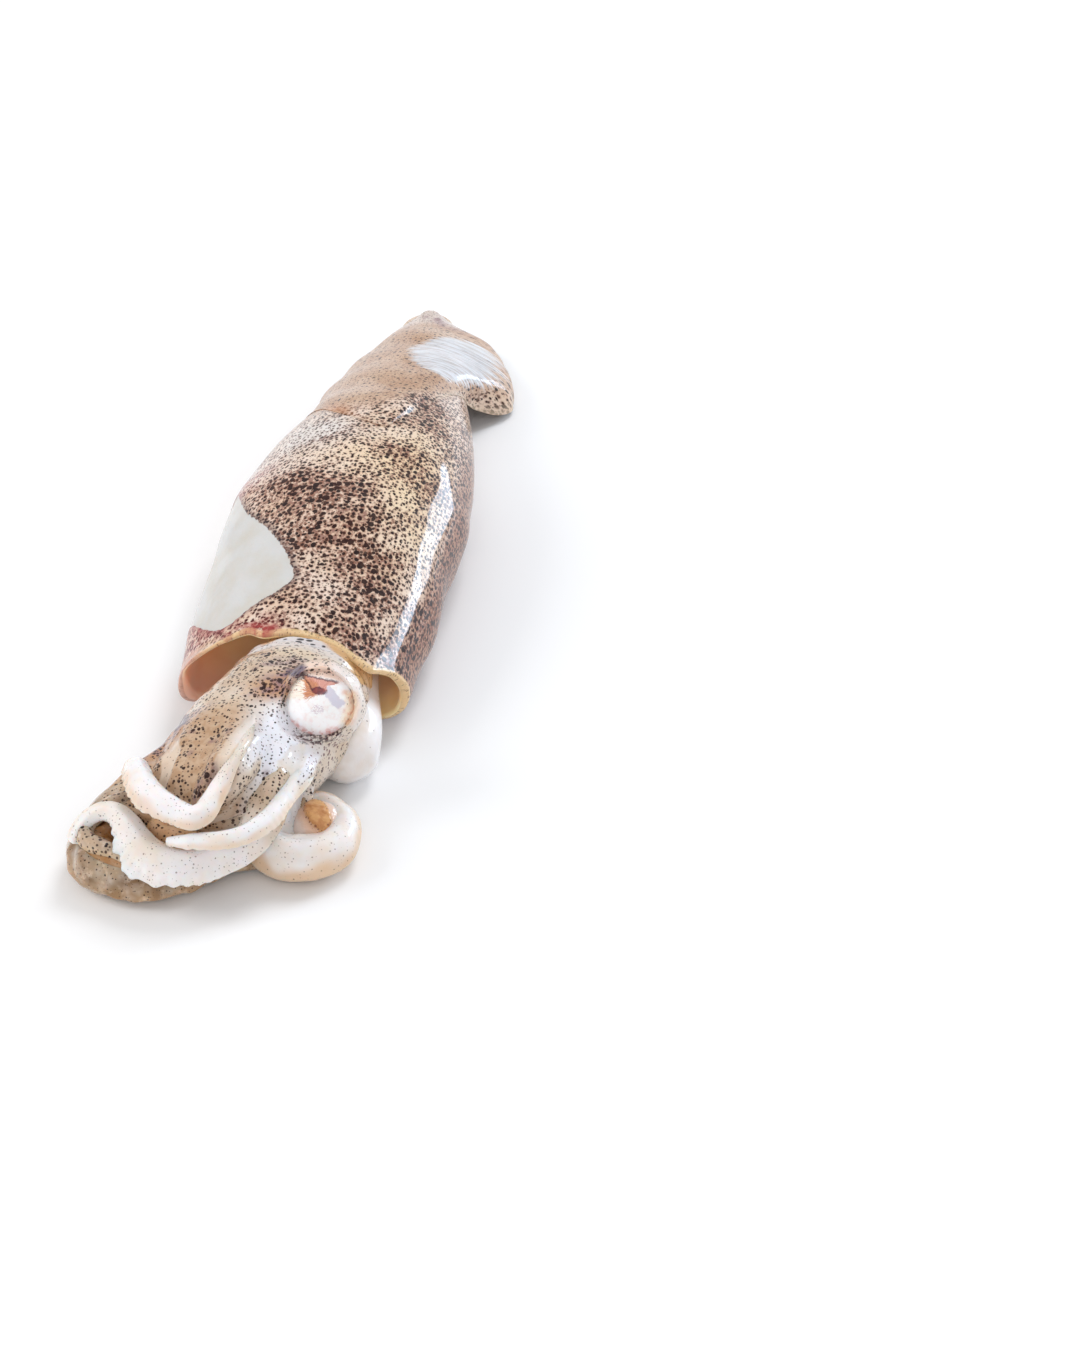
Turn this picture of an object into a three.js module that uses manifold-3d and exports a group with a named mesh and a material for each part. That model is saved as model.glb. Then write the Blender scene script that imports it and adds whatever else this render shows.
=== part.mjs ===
// A whole raw squid, lying belly down with its head bent a little to one side.
// The mantle is a limp sleeve, open at the front, with a pair of fins laid over its pointed tail.
// The head sits in the mouth of the sleeve on its neck, with an eye on each side, eight arms and
// two tentacles curled up in front, and the white funnel pushed out beside it.
//
// Millimetres. +Y runs from the head to the tail, +X to the right seen from the head, +Z up.
// The origin is on the table, under the middle of the belly.
import * as THREE from "three";
import { mergeVertices } from "three/addons/utils/BufferGeometryUtils.js";
import Module from "manifold-3d";

// ---------------------------------------------------------------- driving dimensions
const MOUTH_Y = -74; // front edge of the mantle
const TAIL_Y = 116; // tip of the tail
const WALL = 3; // thickness of the mantle's wall
const CAVITY_END_Y = -40; // how far back the mantle is open
const SIDE_HEIGHT = 0.42; // height of the widest line, as a share of the mantle's height
const BELLY_SINK = 0.8; // how much of the round belly is pressed flat on the table
const CLEARANCE = 0.35; // gap between two solids that touch

// Mantle: [y, half width, height].
const MANTLE = [
  [-76, 23.2, 23.2],
  [-60, 24.8, 25.5],
  [-40, 26, 28.5],
  [-15, 26.2, 30.5],
  [5, 24.6, 30],
  [25, 21.4, 27],
  [45, 17.4, 22.5],
  [65, 12.6, 18],
  [85, 8.4, 13.5],
  [100, 5.6, 10],
  [110, 4, 7.6],
  [116, 3, 6.2],
];
// Sideways place of the mantle's middle: [y, x].
const MANTLE_MIDDLE = [
  [-76, 0.6],
  [-20, 0.8],
  [30, 2.6],
  [80, 3],
  [116, -0.4],
];
// The mantle's uneven front edge: [angle from +X over the back in degrees, y].
const MOUTH_EDGE = [
  [-90, -67], [-66, -69], [-40, -74], [-12, -76], [0, -75.6], [12, -76.4], [24, -77.6], [33, -79.6],
  [41, -81.8], [52, -81], [65, -78.6], [79, -77], [92, -76.8], [103, -77.6], [112, -75.8],
  [124, -77.4], [143, -79], [162, -78], [178, -76], [192, -74.8], [204, -73], [216, -70.4],
  [228, -67.8], [240, -66.2], [254, -66], [270, -67],
];
// Outward flare of the front edge: angle and width in degrees, reach along Y, and height.
const LIP_FLARE = { angle: 214, width: 26, reach: 9, height: 3.2 };

// Fins: both start at FIN_FRONT_Y on the back and end by the tail tip.
const FIN_FRONT_Y = 4;
const FIN_END_Y = 119.4;
const FIN_THICKNESS = 2;
// The line on the back from which the fins spread: [y, x].
const FIN_ROOT = [
  [4, 6.5], [40, 5], [80, 4], [112, 0.6], [119.4, -0.8],
];
// Margin of each fin where it is fully spread: [y, x, z].
const FIN_MARGIN = {
  left: [
    [4, -18, 6], [30, -20.6, 6], [45, -20.8, 4.6], [57, -19.6, 4], [65, -18.2, 3.6], [75, -16.6, 3.4],
    [88, -14.1, 3.4], [100, -11.2, 3.6], [110, -8.8, 4], [116, -6.4, 5], [118.6, -4.2, 5.4],
    [119.4, -1.6, 5.4],
  ],
  right: [
    [4, 29, 5], [50, 25, 4], [66, 27, 1.9], [82, 25.5, 1.8], [95, 21.5, 2], [104, 18, 2.2],
    [108, 13.6, 2.6], [111, 9.4, 3.2], [114, 6.6, 4], [117.4, 3.8, 4.6], [118.7, 2, 5],
    [119.4, 0, 5.4],
  ],
};
// How far each fin spreads from the back towards that margin: [y, share].
const FIN_REACH = {
  left: [
    [4, 0.02], [10, 0.17], [16, 0.28], [21, 0.38], [27, 0.6], [34, 0.85], [45, 1], [117, 1],
  ],
  right: [
    [4, 0.02], [16, 0.17], [38, 0.34], [50, 0.5], [60, 0.8], [68, 1], [117, 1],
  ],
};

// Head: [y, middle x, half width, middle z, half height].
const HEAD = [
  [-45, 4, 7.5, 11.5, 5.5],
  [-60, 4.5, 10.2, 12, 7.2],
  [-72, 4.4, 12, 12, 8.2],
  [-80, 3.4, 13.6, 12.4, 10.4],
  [-88, 2.2, 15.2, 12.6, 11.8],
  [-96, 0.4, 16, 12.4, 11.9],
  [-104, -2.2, 15.6, 11.8, 11],
  [-112, -4.6, 14, 11, 9.8],
  [-120, -7, 11.4, 10.4, 8.6],
  [-127, -8.5, 7, 9.4, 6],
];
const EYE_RADIUS = 7.9;
const EYES = { eye_left: [11, -97.2, 20], eye_right: [-9, -95.5, 8.4] };
// The hollow of the head in front of each eye.
const SOCKETS = { eye_left: [14, -103.6, 25], eye_right: [-14.6, -102, 8] };
const SOCKET_RADIUS = 9.4;
const FUNNEL_ROUTE = [
  [13, -66, 9.5],
  [14, -77, 9],
  [14.6, -88, 7.6],
  [14.4, -99.5, 5.4],
];
const FUNNEL_RADIUS = [
  [0, 3.6],
  [0.35, 4.6],
  [0.75, 6.6],
  [1, 5.4],
];

// Arms and tentacles: the line each one follows from inside the head to its tip, and its radius,
// [share of its length, mm]. Pair 1 is on the squid's back and pair 4 on its belly.
const ARMS = {
  arm_1_left: {
    radius: [
      [0, 3], [0.3, 2.4], [0.45, 2.1], [0.7, 2.3], [0.85, 2.4], [1, 2],
    ],
    route: [
      [-1, -103, 12.5], [-1.6, -105.5, 17.4], [-1.6, -112, 18.6], [-2, -117.2, 19],
      [-2.4, -122.4, 19.2], [-2.4, -128.3, 20.2], [-3.3, -131.2, 19.2], [-4.3, -134.4, 18.6],
      [-6.1, -135.6, 18.2], [-9.1, -134.3, 18.2], [-12.1, -133, 18.8], [-15.1, -130.6, 19.2],
      [-17.6, -127.2, 19.2], [-19.6, -122.4, 18.6], [-21, -118.1, 17.2],
    ],
  },
  arm_1_right: {
    radius: [
      [0, 4.1], [0.3, 3.8], [0.42, 2.9], [0.55, 2.1], [0.8, 1.8], [1, 1.7],
    ],
    route: [
      [-6, -98, 15], [-9.6, -108.4, 16], [-12.8, -115.6, 14.6], [-17.4, -119.6, 12.4],
      [-22.4, -122.6, 11.8], [-26, -126.2, 11.6], [-27.9, -130.4, 11], [-27, -133.8, 10.4],
      [-24, -135.4, 9.8], [-20.4, -136.6, 9.2], [-16.8, -138, 8],
    ],
  },
  arm_2_right: {
    radius: [
      [0, 4.1], [0.4, 3.9], [0.55, 4.4], [0.7, 4.3], [0.8, 3.2], [0.88, 2.3], [1, 2.2],
    ],
    route: [
      [-9, -95, 10.5], [-14, -104.6, 11.4], [-18.4, -111.6, 11], [-23.2, -117.6, 9.6],
      [-26.5, -122, 8], [-28.2, -126.6, 6.2], [-27.6, -131.6, 5], [-25, -135, 4.6],
      [-20.4, -136.4, 4.4], [-14.4, -136.4, 4.2], [-8.8, -133.8, 3.6], [-4.4, -130, 3.2],
      [0.6, -126.6, 2.8], [6.4, -125, 3],
    ],
  },
  arm_2_left: {
    radius: [
      [0, 2.4], [0.2, 3.8], [0.3, 3.6], [0.4, 2.9], [0.55, 2.9], [0.66, 2.9], [0.76, 2.3], [0.85, 1.8],
      [1, 1.2],
    ],
    route: [
      [3, -101, 12], [4.4, -109, 15], [4.6, -118, 14.4], [4.4, -125, 11.6], [2.5, -130.2, 9.6],
      [-1.4, -134.4, 9], [-5.6, -138.1, 9], [-10, -139.2, 9.4], [-14, -138.1, 10.6],
      [-16.8, -135.9, 12.2], [-19.3, -133.1, 13.4], [-22.1, -130.6, 14.2], [-25, -130, 14],
      [-27.3, -130.8, 12.8], [-29, -132.4, 11], [-29.8, -133.8, 9],
    ],
  },
  arm_3_left: {
    radius: [
      [0, 2.4], [0.3, 2], [0.42, 1.6], [0.7, 1.45], [0.9, 1.1], [1, 0.5],
    ],
    route: [
      [6.6, -99, 11.6], [9.2, -108, 13.6], [9.7, -115, 14.6], [8.4, -122, 14.6], [6.4, -129.4, 14.6],
      [3.6, -134, 14.5], [-0.5, -136.9, 14.6], [-6.2, -138, 14.6], [-11, -137.2, 13.6],
    ],
  },
  arm_3_right: {
    radius: [
      [0, 4.1], [0.5, 3.5], [0.75, 3], [1, 2.2],
    ],
    route: [
      [-10, -97, 7.4], [-13.6, -108, 6.6], [-18, -117, 6.2], [-22, -123, 6.4], [-25.4, -128.6, 7.2],
      [-25.6, -132.8, 7.8], [-22.4, -135.4, 7.6], [-18, -136.8, 7], [-13, -136.4, 6],
    ],
  },
  arm_4_right: {
    radius: [
      [0, 4.1], [0.5, 3.6], [0.85, 2.9], [1, 2.2],
    ],
    route: [
      [-5, -98, 6], [-7.6, -109, 5], [-10.6, -118, 5], [-14.4, -124, 7.4], [-13.6, -129.4, 8.8],
      [-8.4, -130.6, 8.6], [-3, -127.4, 6],
    ],
  },
  arm_4_left: {
    radius: [
      [0, 3.4], [0.3, 4.2], [0.45, 4.4], [0.6, 4.2], [0.7, 3.5], [0.8, 2.7], [0.88, 2], [1, 1.5],
    ],
    route: [
      [2.6, -100, 7.4], [4, -108.5, 7.6], [5, -117.4, 6.8], [4.5, -123.7, 5.4], [8.3, -127.2, 4.9],
      [13.3, -127.2, 4.8], [17.1, -124.1, 4.7], [18.4, -119, 4.6], [17.2, -113.4, 4.6],
      [14.3, -109.6, 4.8], [11.4, -108.6, 5], [9.7, -110.6, 5], [9.5, -113.8, 4.6],
    ],
  },
  tentacle_left: {
    radius: [
      [0, 2.2], [0.5, 1.7], [1, 1.3],
    ],
    route: [
      [1, -100, 4.4], [4.6, -105, 6], [8.2, -109.2, 8.2], [9.5, -111.7, 7.8], [9.7, -114.3, 6.6],
      [9.4, -116.1, 5],
    ],
  },
  tentacle_right: {
    radius: [
      [0, 2.4], [0.5, 2.1], [1, 1.6],
    ],
    route: [
      [-2.4, -99, 4.2], [-1.4, -110, 2.8], [3.6, -117.6, 2.4], [3.8, -123.4, 2.8], [-0.4, -127, 4],
      [-5, -128.6, 5], [-9.4, -130, 6],
    ],
  },
};

// How finely each solid is faceted.
const AROUND = { mantle: 32, head: 24, arm: 9, eye: 14, funnel: 12 };
const STEPS = { head: 16, eye: 10, funnel: 9, finLong: 20, finAcross: 10 };
const ARM_STEP = 3.8; // length of one stretch of an arm

// Looks of the plain solids.
const FINISHES = {
  mantle: { color: 0xc8b09c, roughness: 0.3, metalness: 0 },
  head_and_arms: { color: 0xdcd0c2, roughness: 0.3, metalness: 0 },
  funnel: { color: 0xe0dad2, roughness: 0.25, metalness: 0 },
  eye: { color: 0xe6cfc8, roughness: 0.12, metalness: 0 },
};

// ---------------------------------------------------------------- small tools
const wasm = await Module();
wasm.setup();

// A smooth function through [t, value] rows, by cubic Hermite pieces with Catmull-Rom slopes.
function smooth(rows, column = 1) {
  const at = rows.map((row) => row[0]);
  const value = rows.map((row) => row[column]);
  const last = rows.length - 1;
  const slope = rows.map((_, i) => {
    const low = Math.max(0, i - 1);
    const high = Math.min(last, i + 1);
    return (value[high] - value[low]) / (at[high] - at[low]);
  });
  const rising = at[last] > at[0];
  return (t) => {
    let i = 0;
    while (i < last - 1 && (rising ? t > at[i + 1] : t < at[i + 1])) i += 1;
    const span = at[i + 1] - at[i];
    const x = THREE.MathUtils.clamp((t - at[i]) / span, 0, 1);
    const square = x * x;
    const cube = square * x;
    return (
      (2 * cube - 3 * square + 1) * value[i] +
      (cube - 2 * square + x) * span * slope[i] +
      (3 * square - 2 * cube) * value[i + 1] +
      (cube - square) * span * slope[i + 1]
    );
  };
}

// A closed skin of rings from one pole to the other: place(turn, share) gives the point at a share of a
// full turn and a share of the way between the poles.
function skin(around, rings, place) {
  const geometry = new THREE.SphereGeometry(1, around, rings);
  const position = geometry.getAttribute("position");
  for (let ring = 0; ring <= rings; ring += 1) {
    for (let k = 0; k <= around; k += 1) {
      const point = place((k % around) / around, ring / rings);
      position.setXYZ(ring * (around + 1) + k, point.x, point.y, point.z);
    }
  }
  return geometry;
}

// The solid of a closed geometry, turned the right way out.
function solid(geometry) {
  const bare = geometry.index ? geometry.clone() : geometry;
  bare.deleteAttribute("normal");
  bare.deleteAttribute("uv");
  const merged = mergeVertices(bare, 1e-3);
  const vertProperties = new Float32Array(merged.attributes.position.array);
  const triVerts = new Uint32Array(merged.index.array);
  const made = () => new wasm.Manifold(new wasm.Mesh({ numProp: 3, vertProperties, triVerts }));
  const first = made();
  if (first.volume() > 0) return first;
  for (let i = 0; i < triVerts.length; i += 3) {
    [triVerts[i + 1], triVerts[i + 2]] = [triVerts[i + 2], triVerts[i + 1]];
  }
  return made();
}

// The part of a solid above the table, as one mesh.
function mesh(name, body, finish) {
  const depth = 60;
  const below = new THREE.BoxGeometry(400, 500, depth).translate(0, 0, -depth / 2);
  const pieces = body.subtract(solid(below)).decompose();
  const largest = pieces.reduce((a, b) => (b.volume() > a.volume() ? b : a));
  const { numProp, vertProperties, triVerts } = largest.simplify(0.04).getMesh();
  const position = new Float32Array((vertProperties.length / numProp) * 3);
  for (let i = 0; i < position.length / 3; i += 1) {
    position.set(vertProperties.subarray(i * numProp, i * numProp + 3), i * 3);
  }
  const geometry = new THREE.BufferGeometry()
    .setAttribute("position", new THREE.BufferAttribute(position, 3))
    .setIndex(new THREE.BufferAttribute(new Uint32Array(triVerts), 1));
  const made = new THREE.Mesh(geometry, new THREE.MeshStandardMaterial({ ...finish, flatShading: true }));
  made.name = name;
  return made;
}

// ---------------------------------------------------------------- mantle
const halfWidthAt = smooth(MANTLE, 1);
const heightAt = smooth(MANTLE, 2);
const middleAt = smooth(MANTLE_MIDDLE);

// A point of the mantle's skin, or of a skin inset into it. Angles run from +X over the back.
function mantlePoint(y, angle, depth = 0) {
  const height = heightAt(y);
  const { angle: middle, width, reach, height: rise } = LIP_FLARE;
  const turned = (THREE.MathUtils.radToDeg(angle) - middle) / width;
  const inset = depth - rise * Math.exp(-(turned ** 2) - Math.max(0, (y - MOUTH_Y) / reach) ** 2);
  const side = SIDE_HEIGHT * height;
  const x = middleAt(y) + (halfWidthAt(y) - inset) * Math.cos(angle);
  const lift = Math.sin(angle);
  const up = side + (height - side - inset) * lift;
  const down = side - (side + BELLY_SINK - inset) * Math.abs(lift) ** 0.72;
  return new THREE.Vector3(x, y, lift >= 0 ? up : down);
}

// Where the front edge lies at an angle.
const edgeAt = smooth(MOUTH_EDGE);
function mouthEdge(angle) {
  return edgeAt(((THREE.MathUtils.radToDeg(angle) + 90) % 360) - 90);
}

// The sleeve: from the end of the cavity forwards along the inner wall, round the edge, and back to the tail.
function mantleSkin(extra = 0) {
  const caps = 3;
  const inner = 4;
  const lip = 3;
  const outer = 18;
  const tip = 3;
  const rings = caps + inner + lip + outer + tip;
  return skin(AROUND.mantle, rings, (turn, share) => {
    const angle = turn * 2 * Math.PI;
    const ring = Math.round(share * rings);
    const edge = mouthEdge(angle) - extra;
    const wall = WALL + extra;
    if (ring <= caps) {
      const t = (ring / caps) * (Math.PI / 2);
      const y = CAVITY_END_Y - 6 * (1 - Math.cos(t)) + extra;
      const rim = mantlePoint(y, angle, wall);
      const pole = new THREE.Vector3(middleAt(y), y, heightAt(y) / 2);
      return pole.lerp(rim, Math.sin(t));
    }
    if (ring <= caps + inner) {
      const start = CAVITY_END_Y - 6 + extra;
      const y = THREE.MathUtils.lerp(start, edge + WALL / 2, (ring - caps) / inner);
      return mantlePoint(y, angle, wall);
    }
    if (ring <= caps + inner + lip) {
      const t = ((ring - caps - inner) / lip) * Math.PI;
      const y = edge + (WALL / 2) * (1 - Math.sin(t));
      return mantlePoint(y, angle, (wall / 2) * (1 + Math.cos(t)) - extra * Math.sin(t / 2));
    }
    if (ring <= caps + inner + lip + outer) {
      const y = THREE.MathUtils.lerp(edge + WALL / 2, TAIL_Y - 3, (ring - caps - inner - lip) / outer);
      return mantlePoint(y, angle, -extra);
    }
    const t = ((ring - (rings - tip)) / tip) * (Math.PI / 2);
    const y = TAIL_Y - 3 + (3 + extra) * Math.sin(t);
    const rim = mantlePoint(y, angle, -extra);
    return new THREE.Vector3(middleAt(y), y, heightAt(y) / 2).lerp(rim, Math.cos(t));
  });
}

const rootAt = smooth(FIN_ROOT);

// A fin's middle surface: from the back (across 0) along a Bezier curve down to its margin (across 1).
// The left one hugs the body's flank and the right one lies spread out.
function finPoint(side, along, across) {
  const name = side < 0 ? "left" : "right";
  const y = THREE.MathUtils.lerp(FIN_FRONT_Y, FIN_END_Y, along);
  const height = heightAt(y);
  const edge = middleAt(y) + side * halfWidthAt(y);
  const root = new THREE.Vector2(rootAt(y), height + 0.5);
  const margin = new THREE.Vector2(smooth(FIN_MARGIN[name], 1)(y), smooth(FIN_MARGIN[name], 2)(y));
  const shoulder = new THREE.Vector2(THREE.MathUtils.lerp(root.x, edge, 0.75), height + 1.3);
  const flank = new THREE.Vector2(side * Math.max(side * edge + 1.6, side * margin.x + 0.6), height * 0.62);
  const curve = new THREE.CubicBezierCurve(root, shoulder, flank, margin);
  const point = curve.getPoint(across * smooth(FIN_REACH[name])(y));
  return new THREE.Vector3(point.x, y, point.y);
}

function finSolid(side) {
  const geometry = new THREE.BoxGeometry(1, 1, 1, STEPS.finAcross, STEPS.finLong, 1);
  const position = geometry.getAttribute("position");
  const step = 0.01;
  for (let i = 0; i < position.count; i += 1) {
    const across = position.getX(i) + 0.5;
    const along = position.getY(i) + 0.5;
    const low = finPoint(side, Math.max(0, along - step), across);
    const high = finPoint(side, Math.min(1, along + step), across);
    const near = finPoint(side, along, Math.max(0, across - step));
    const far = finPoint(side, along, Math.min(1, across + step));
    const normal = far.sub(near).cross(high.sub(low)).normalize().multiplyScalar(side);
    const thin = THREE.MathUtils.lerp(1, 0.45, across);
    const point = finPoint(side, along, across);
    point.addScaledVector(normal, position.getZ(i) * FIN_THICKNESS * thin);
    position.setXYZ(i, point.x, point.y, point.z);
  }
  return solid(geometry);
}

// ---------------------------------------------------------------- head, arms, funnel and eyes
const headMiddleX = smooth(HEAD, 1);
const headHalfWidth = smooth(HEAD, 2);
const headMiddleZ = smooth(HEAD, 3);
const headHalfHeight = smooth(HEAD, 4);

function headSkin(extra = 0) {
  const back = HEAD[0][0];
  const front = HEAD[HEAD.length - 1][0];
  return skin(AROUND.head, STEPS.head, (turn, share) => {
    const angle = turn * 2 * Math.PI;
    const end = 0.12;
    const inside = THREE.MathUtils.clamp(share, 0, 1);
    const near = Math.min(inside, 1 - inside) / end;
    const round = near < 1 ? Math.sqrt(1 - (1 - near) ** 2) : 1;
    const y = THREE.MathUtils.lerp(back + extra, front - extra, share);
    const x = headMiddleX(y) + (headHalfWidth(y) + extra) * round * Math.cos(angle);
    const z = headMiddleZ(y) + (headHalfHeight(y) + extra) * round * Math.sin(angle);
    return new THREE.Vector3(x, y, z);
  });
}

// A tapering round limb along a route.
function limb(route, radiusAt, around, steps, extra = 0) {
  const curve = new THREE.CatmullRomCurve3(route.map((point) => new THREE.Vector3(...point)));
  const frames = curve.computeFrenetFrames(steps, false);
  return skin(around, steps, (turn, share) => {
    const ring = Math.round(share * steps);
    const angle = turn * 2 * Math.PI;
    const cap = ring === 0 || ring === steps ? 0 : 1;
    const radius = (radiusAt(share) + extra) * cap;
    return curve
      .getPointAt(share)
      .addScaledVector(frames.normals[ring], radius * Math.cos(angle))
      .addScaledVector(frames.binormals[ring], radius * Math.sin(angle));
  });
}

function armSolid({ route, radius }, extra = 0) {
  const curve = new THREE.CatmullRomCurve3(route.map((point) => new THREE.Vector3(...point)));
  const steps = Math.round(curve.getLength() / ARM_STEP);
  return solid(limb(route, smooth(radius), AROUND.arm, steps, extra));
}

function eyeSolid(name, extra = 0) {
  const ball = new THREE.SphereGeometry(EYE_RADIUS + extra, AROUND.eye, STEPS.eye);
  return solid(ball.translate(...EYES[name]));
}

const funnelAt = smooth(FUNNEL_RADIUS);

// ---------------------------------------------------------------- the whole squid
const mantle = solid(mantleSkin()).add(finSolid(-1)).add(finSolid(1));
const mantleWithGap = solid(mantleSkin(CLEARANCE));

let headAndArms = solid(headSkin());
for (const centre of Object.values(SOCKETS)) {
  const hollow = new THREE.SphereGeometry(SOCKET_RADIUS, AROUND.eye, STEPS.eye).translate(...centre);
  headAndArms = headAndArms.subtract(solid(hollow));
}
for (const arm of Object.values(ARMS)) {
  headAndArms = headAndArms.add(armSolid(arm));
}
for (const name of Object.keys(EYES)) {
  headAndArms = headAndArms.subtract(eyeSolid(name, CLEARANCE));
}
headAndArms = headAndArms.subtract(mantleWithGap);

const headWithGap = solid(headSkin(CLEARANCE));
const funnel = solid(limb(FUNNEL_ROUTE, funnelAt, AROUND.funnel, STEPS.funnel))
  .subtract(mantleWithGap)
  .subtract(headWithGap)
  .subtract(eyeSolid("eye_left", CLEARANCE))
  .subtract(armSolid(ARMS.arm_4_left, CLEARANCE));

const squid = new THREE.Group();
squid.name = "squid";
squid.add(mesh("mantle", mantle, FINISHES.mantle));
squid.add(mesh("head_and_arms", headAndArms, FINISHES.head_and_arms));
squid.add(mesh("funnel", funnel, FINISHES.funnel));
for (const name of Object.keys(EYES)) {
  squid.add(mesh(name, eyeSolid(name), FINISHES.eye));
}

export default squid;
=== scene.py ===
"""A whole raw squid on a pale table, laid out as an add-on with one operator for each piece.

Shapes are worked out in millimetres as numpy arrays and put into metres when a mesh is made.
+Y runs from the head to the tail, +X to the right seen from in front of the head, +Z up.
Left and right are as seen from there, apart from the names of eyes, arms and tentacles, which are the
squid's own.
"""

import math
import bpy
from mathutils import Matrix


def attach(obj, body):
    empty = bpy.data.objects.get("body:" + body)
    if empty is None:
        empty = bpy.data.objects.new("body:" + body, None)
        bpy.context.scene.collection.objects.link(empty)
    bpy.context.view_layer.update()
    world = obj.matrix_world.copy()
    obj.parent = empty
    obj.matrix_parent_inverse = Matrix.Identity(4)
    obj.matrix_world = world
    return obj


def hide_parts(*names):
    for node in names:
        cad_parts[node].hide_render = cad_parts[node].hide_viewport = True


bl_info = {
    "name": "Raw squid",
    "version": (1, 0, 0),
    "blender": (4, 5, 0),
    "location": "3D View > Sidebar > Squid",
    "description": "Builds a whole raw squid and the table and lights around it",
    "category": "Add Mesh",
}

import bpy
import numpy as np
from bpy.props import FloatProperty, FloatVectorProperty, IntProperty, PointerProperty
from mathutils import Matrix, Vector

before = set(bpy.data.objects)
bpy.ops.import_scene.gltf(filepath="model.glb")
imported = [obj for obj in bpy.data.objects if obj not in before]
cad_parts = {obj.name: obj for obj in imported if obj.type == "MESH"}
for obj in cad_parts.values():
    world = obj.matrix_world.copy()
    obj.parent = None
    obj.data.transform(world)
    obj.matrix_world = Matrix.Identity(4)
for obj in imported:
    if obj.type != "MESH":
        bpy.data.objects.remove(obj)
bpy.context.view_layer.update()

# ------------------------------------------------------------------ named shapes, in millimetres
MOUTH_Y = -74.0  # front edge of the mantle
TAIL_Y = 116.0  # tip of the tail
CAVITY_END_Y = -40.0  # how far back the mantle is open
CAP_LENGTH, TAIL_ROUND = 6.0, 3.0  # lengths over which the cavity and the tail close
SIDE_HEIGHT = 0.42  # height of the widest line, as a share of the mantle's height
BELLY_SINK = 0.8  # how much of the round belly is pressed flat on the table
# Mantle: [y, half width, height].
MANTLE = [
    [-76, 23.2, 23.2],
    [-60, 24.8, 25.5],
    [-40, 26, 28.5],
    [-15, 26.2, 30.5],
    [5, 24.6, 30],
    [25, 21.4, 27],
    [45, 17.4, 22.5],
    [65, 12.6, 18],
    [85, 8.4, 13.5],
    [100, 5.6, 10],
    [110, 4, 7.6],
    [116, 3, 6.2],
]
# Sideways place of the mantle's middle: [y, x].
MIDDLE = [[-76, 0.6], [-20, 0.8], [30, 2.6], [80, 3], [116, -0.4]]
# The mantle's uneven front edge: [angle from +X over the back in degrees, y].
MOUTH_EDGE = [
    [-90, -67], [-66, -69], [-40, -74], [-12, -76], [0, -75.6], [12, -76.4], [24, -77.6], [33, -79.6],
    [41, -81.8], [52, -81], [65, -78.6], [79, -77], [92, -76.8], [103, -77.6], [112, -75.8], [124, -77.4],
    [143, -79], [162, -78], [178, -76], [192, -74.8], [204, -73], [216, -70.4], [228, -67.8], [240, -66.2],
    [254, -66], [270, -67],
]
# Where the mouth flares outwards and how far: angle and half width in degrees, length along and rise in mm.
FLARE_ANGLE, FLARE_WIDTH, FLARE_REACH, FLARE_RISE = 214.0, 26.0, 9.0, 3.2

# Fins: the line on the back that they spread from, [y, x]; the margin of each where it is fully spread,
# [y, x, z]; and how far each spreads towards that margin, [y, share].
FIN_FRONT_Y, FIN_END_Y = 4.0, 120.0
TIP_ROUND = 4.2  # length over which the fins' back end rounds off
TIP_Z = 5.2  # height that this end closes to
FIN_ROOT = [[4, 6.5], [40, 5], [80, 4], [112, 0.6], [119.4, -0.8]]
FIN_MARGIN = {
    -1: [
        [4, -18, 6], [30, -20.6, 6], [45, -20.8, 4.6], [57, -19.6, 4], [65, -18.2, 3.6], [75, -16.6, 3.4],
        [88, -14.1, 3.4], [100, -11.2, 3.6], [109, -8.8, 3.8], [112.6, -6.9, 4], [116, -4.9, 4.2],
        [120, -3.4, 4.2],
    ],
    1: [
        [4, 29, 5], [50, 25, 4], [66, 27, 1.9], [82, 25.5, 1.8], [95, 21.5, 2], [104, 18, 2.2],
        [108, 13.6, 2.6], [111, 9.8, 3.2], [113.4, 7.2, 3.8], [116, 4.9, 4], [120, 2.8, 4.2],
    ],
}
FIN_REACH = {
    -1: [[4, 0.02], [10, 0.17], [16, 0.28], [21, 0.38], [27, 0.6], [34, 0.85], [45, 1], [117, 1]],
    1: [[4, 0.02], [16, 0.17], [38, 0.34], [50, 0.5], [60, 0.8], [68, 1], [117, 1]],
}

# Head: [y, middle x, half width, middle z, half height].
HEAD = [
    [-45, 4, 7.5, 11.5, 5.5],
    [-60, 4.5, 10.2, 12, 7.2],
    [-72, 4.4, 12, 12, 8.2],
    [-80, 3.4, 13.6, 12.4, 10.4],
    [-88, 2.2, 15.2, 12.6, 11.8],
    [-96, 0.4, 16, 12.4, 11.9],
    [-104, -2.2, 15.6, 11.8, 11],
    [-112, -4.6, 14, 11, 9.8],
    [-120, -7, 11.4, 10.4, 8.6],
    [-127, -8.5, 7, 9.4, 6],
]
EYE_RADIUS = 7.9
EYES = {"eye_left": (11.0, -97.2, 20.0), "eye_right": (-9.0, -95.5, 8.4)}
HOOD_RADIUS = 8.3  # of the skin drawn over an eye
SOCKET_RADIUS = 8.0  # of the hollow that opens the skin in front of an eye
# Each eye's axis, and the directions to the right and up across it.
EYE_AXES = {
    "eye_left": np.array([[0.175, -0.83, 0.53], [0.993, 0.116, 0], [-0.062, 0.526, 0.848]]),
    "eye_right": np.array([[-0.92, -0.3, 0.25], [0.31, -0.951, 0], [0.238, 0.078, 0.968]]),
}
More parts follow.
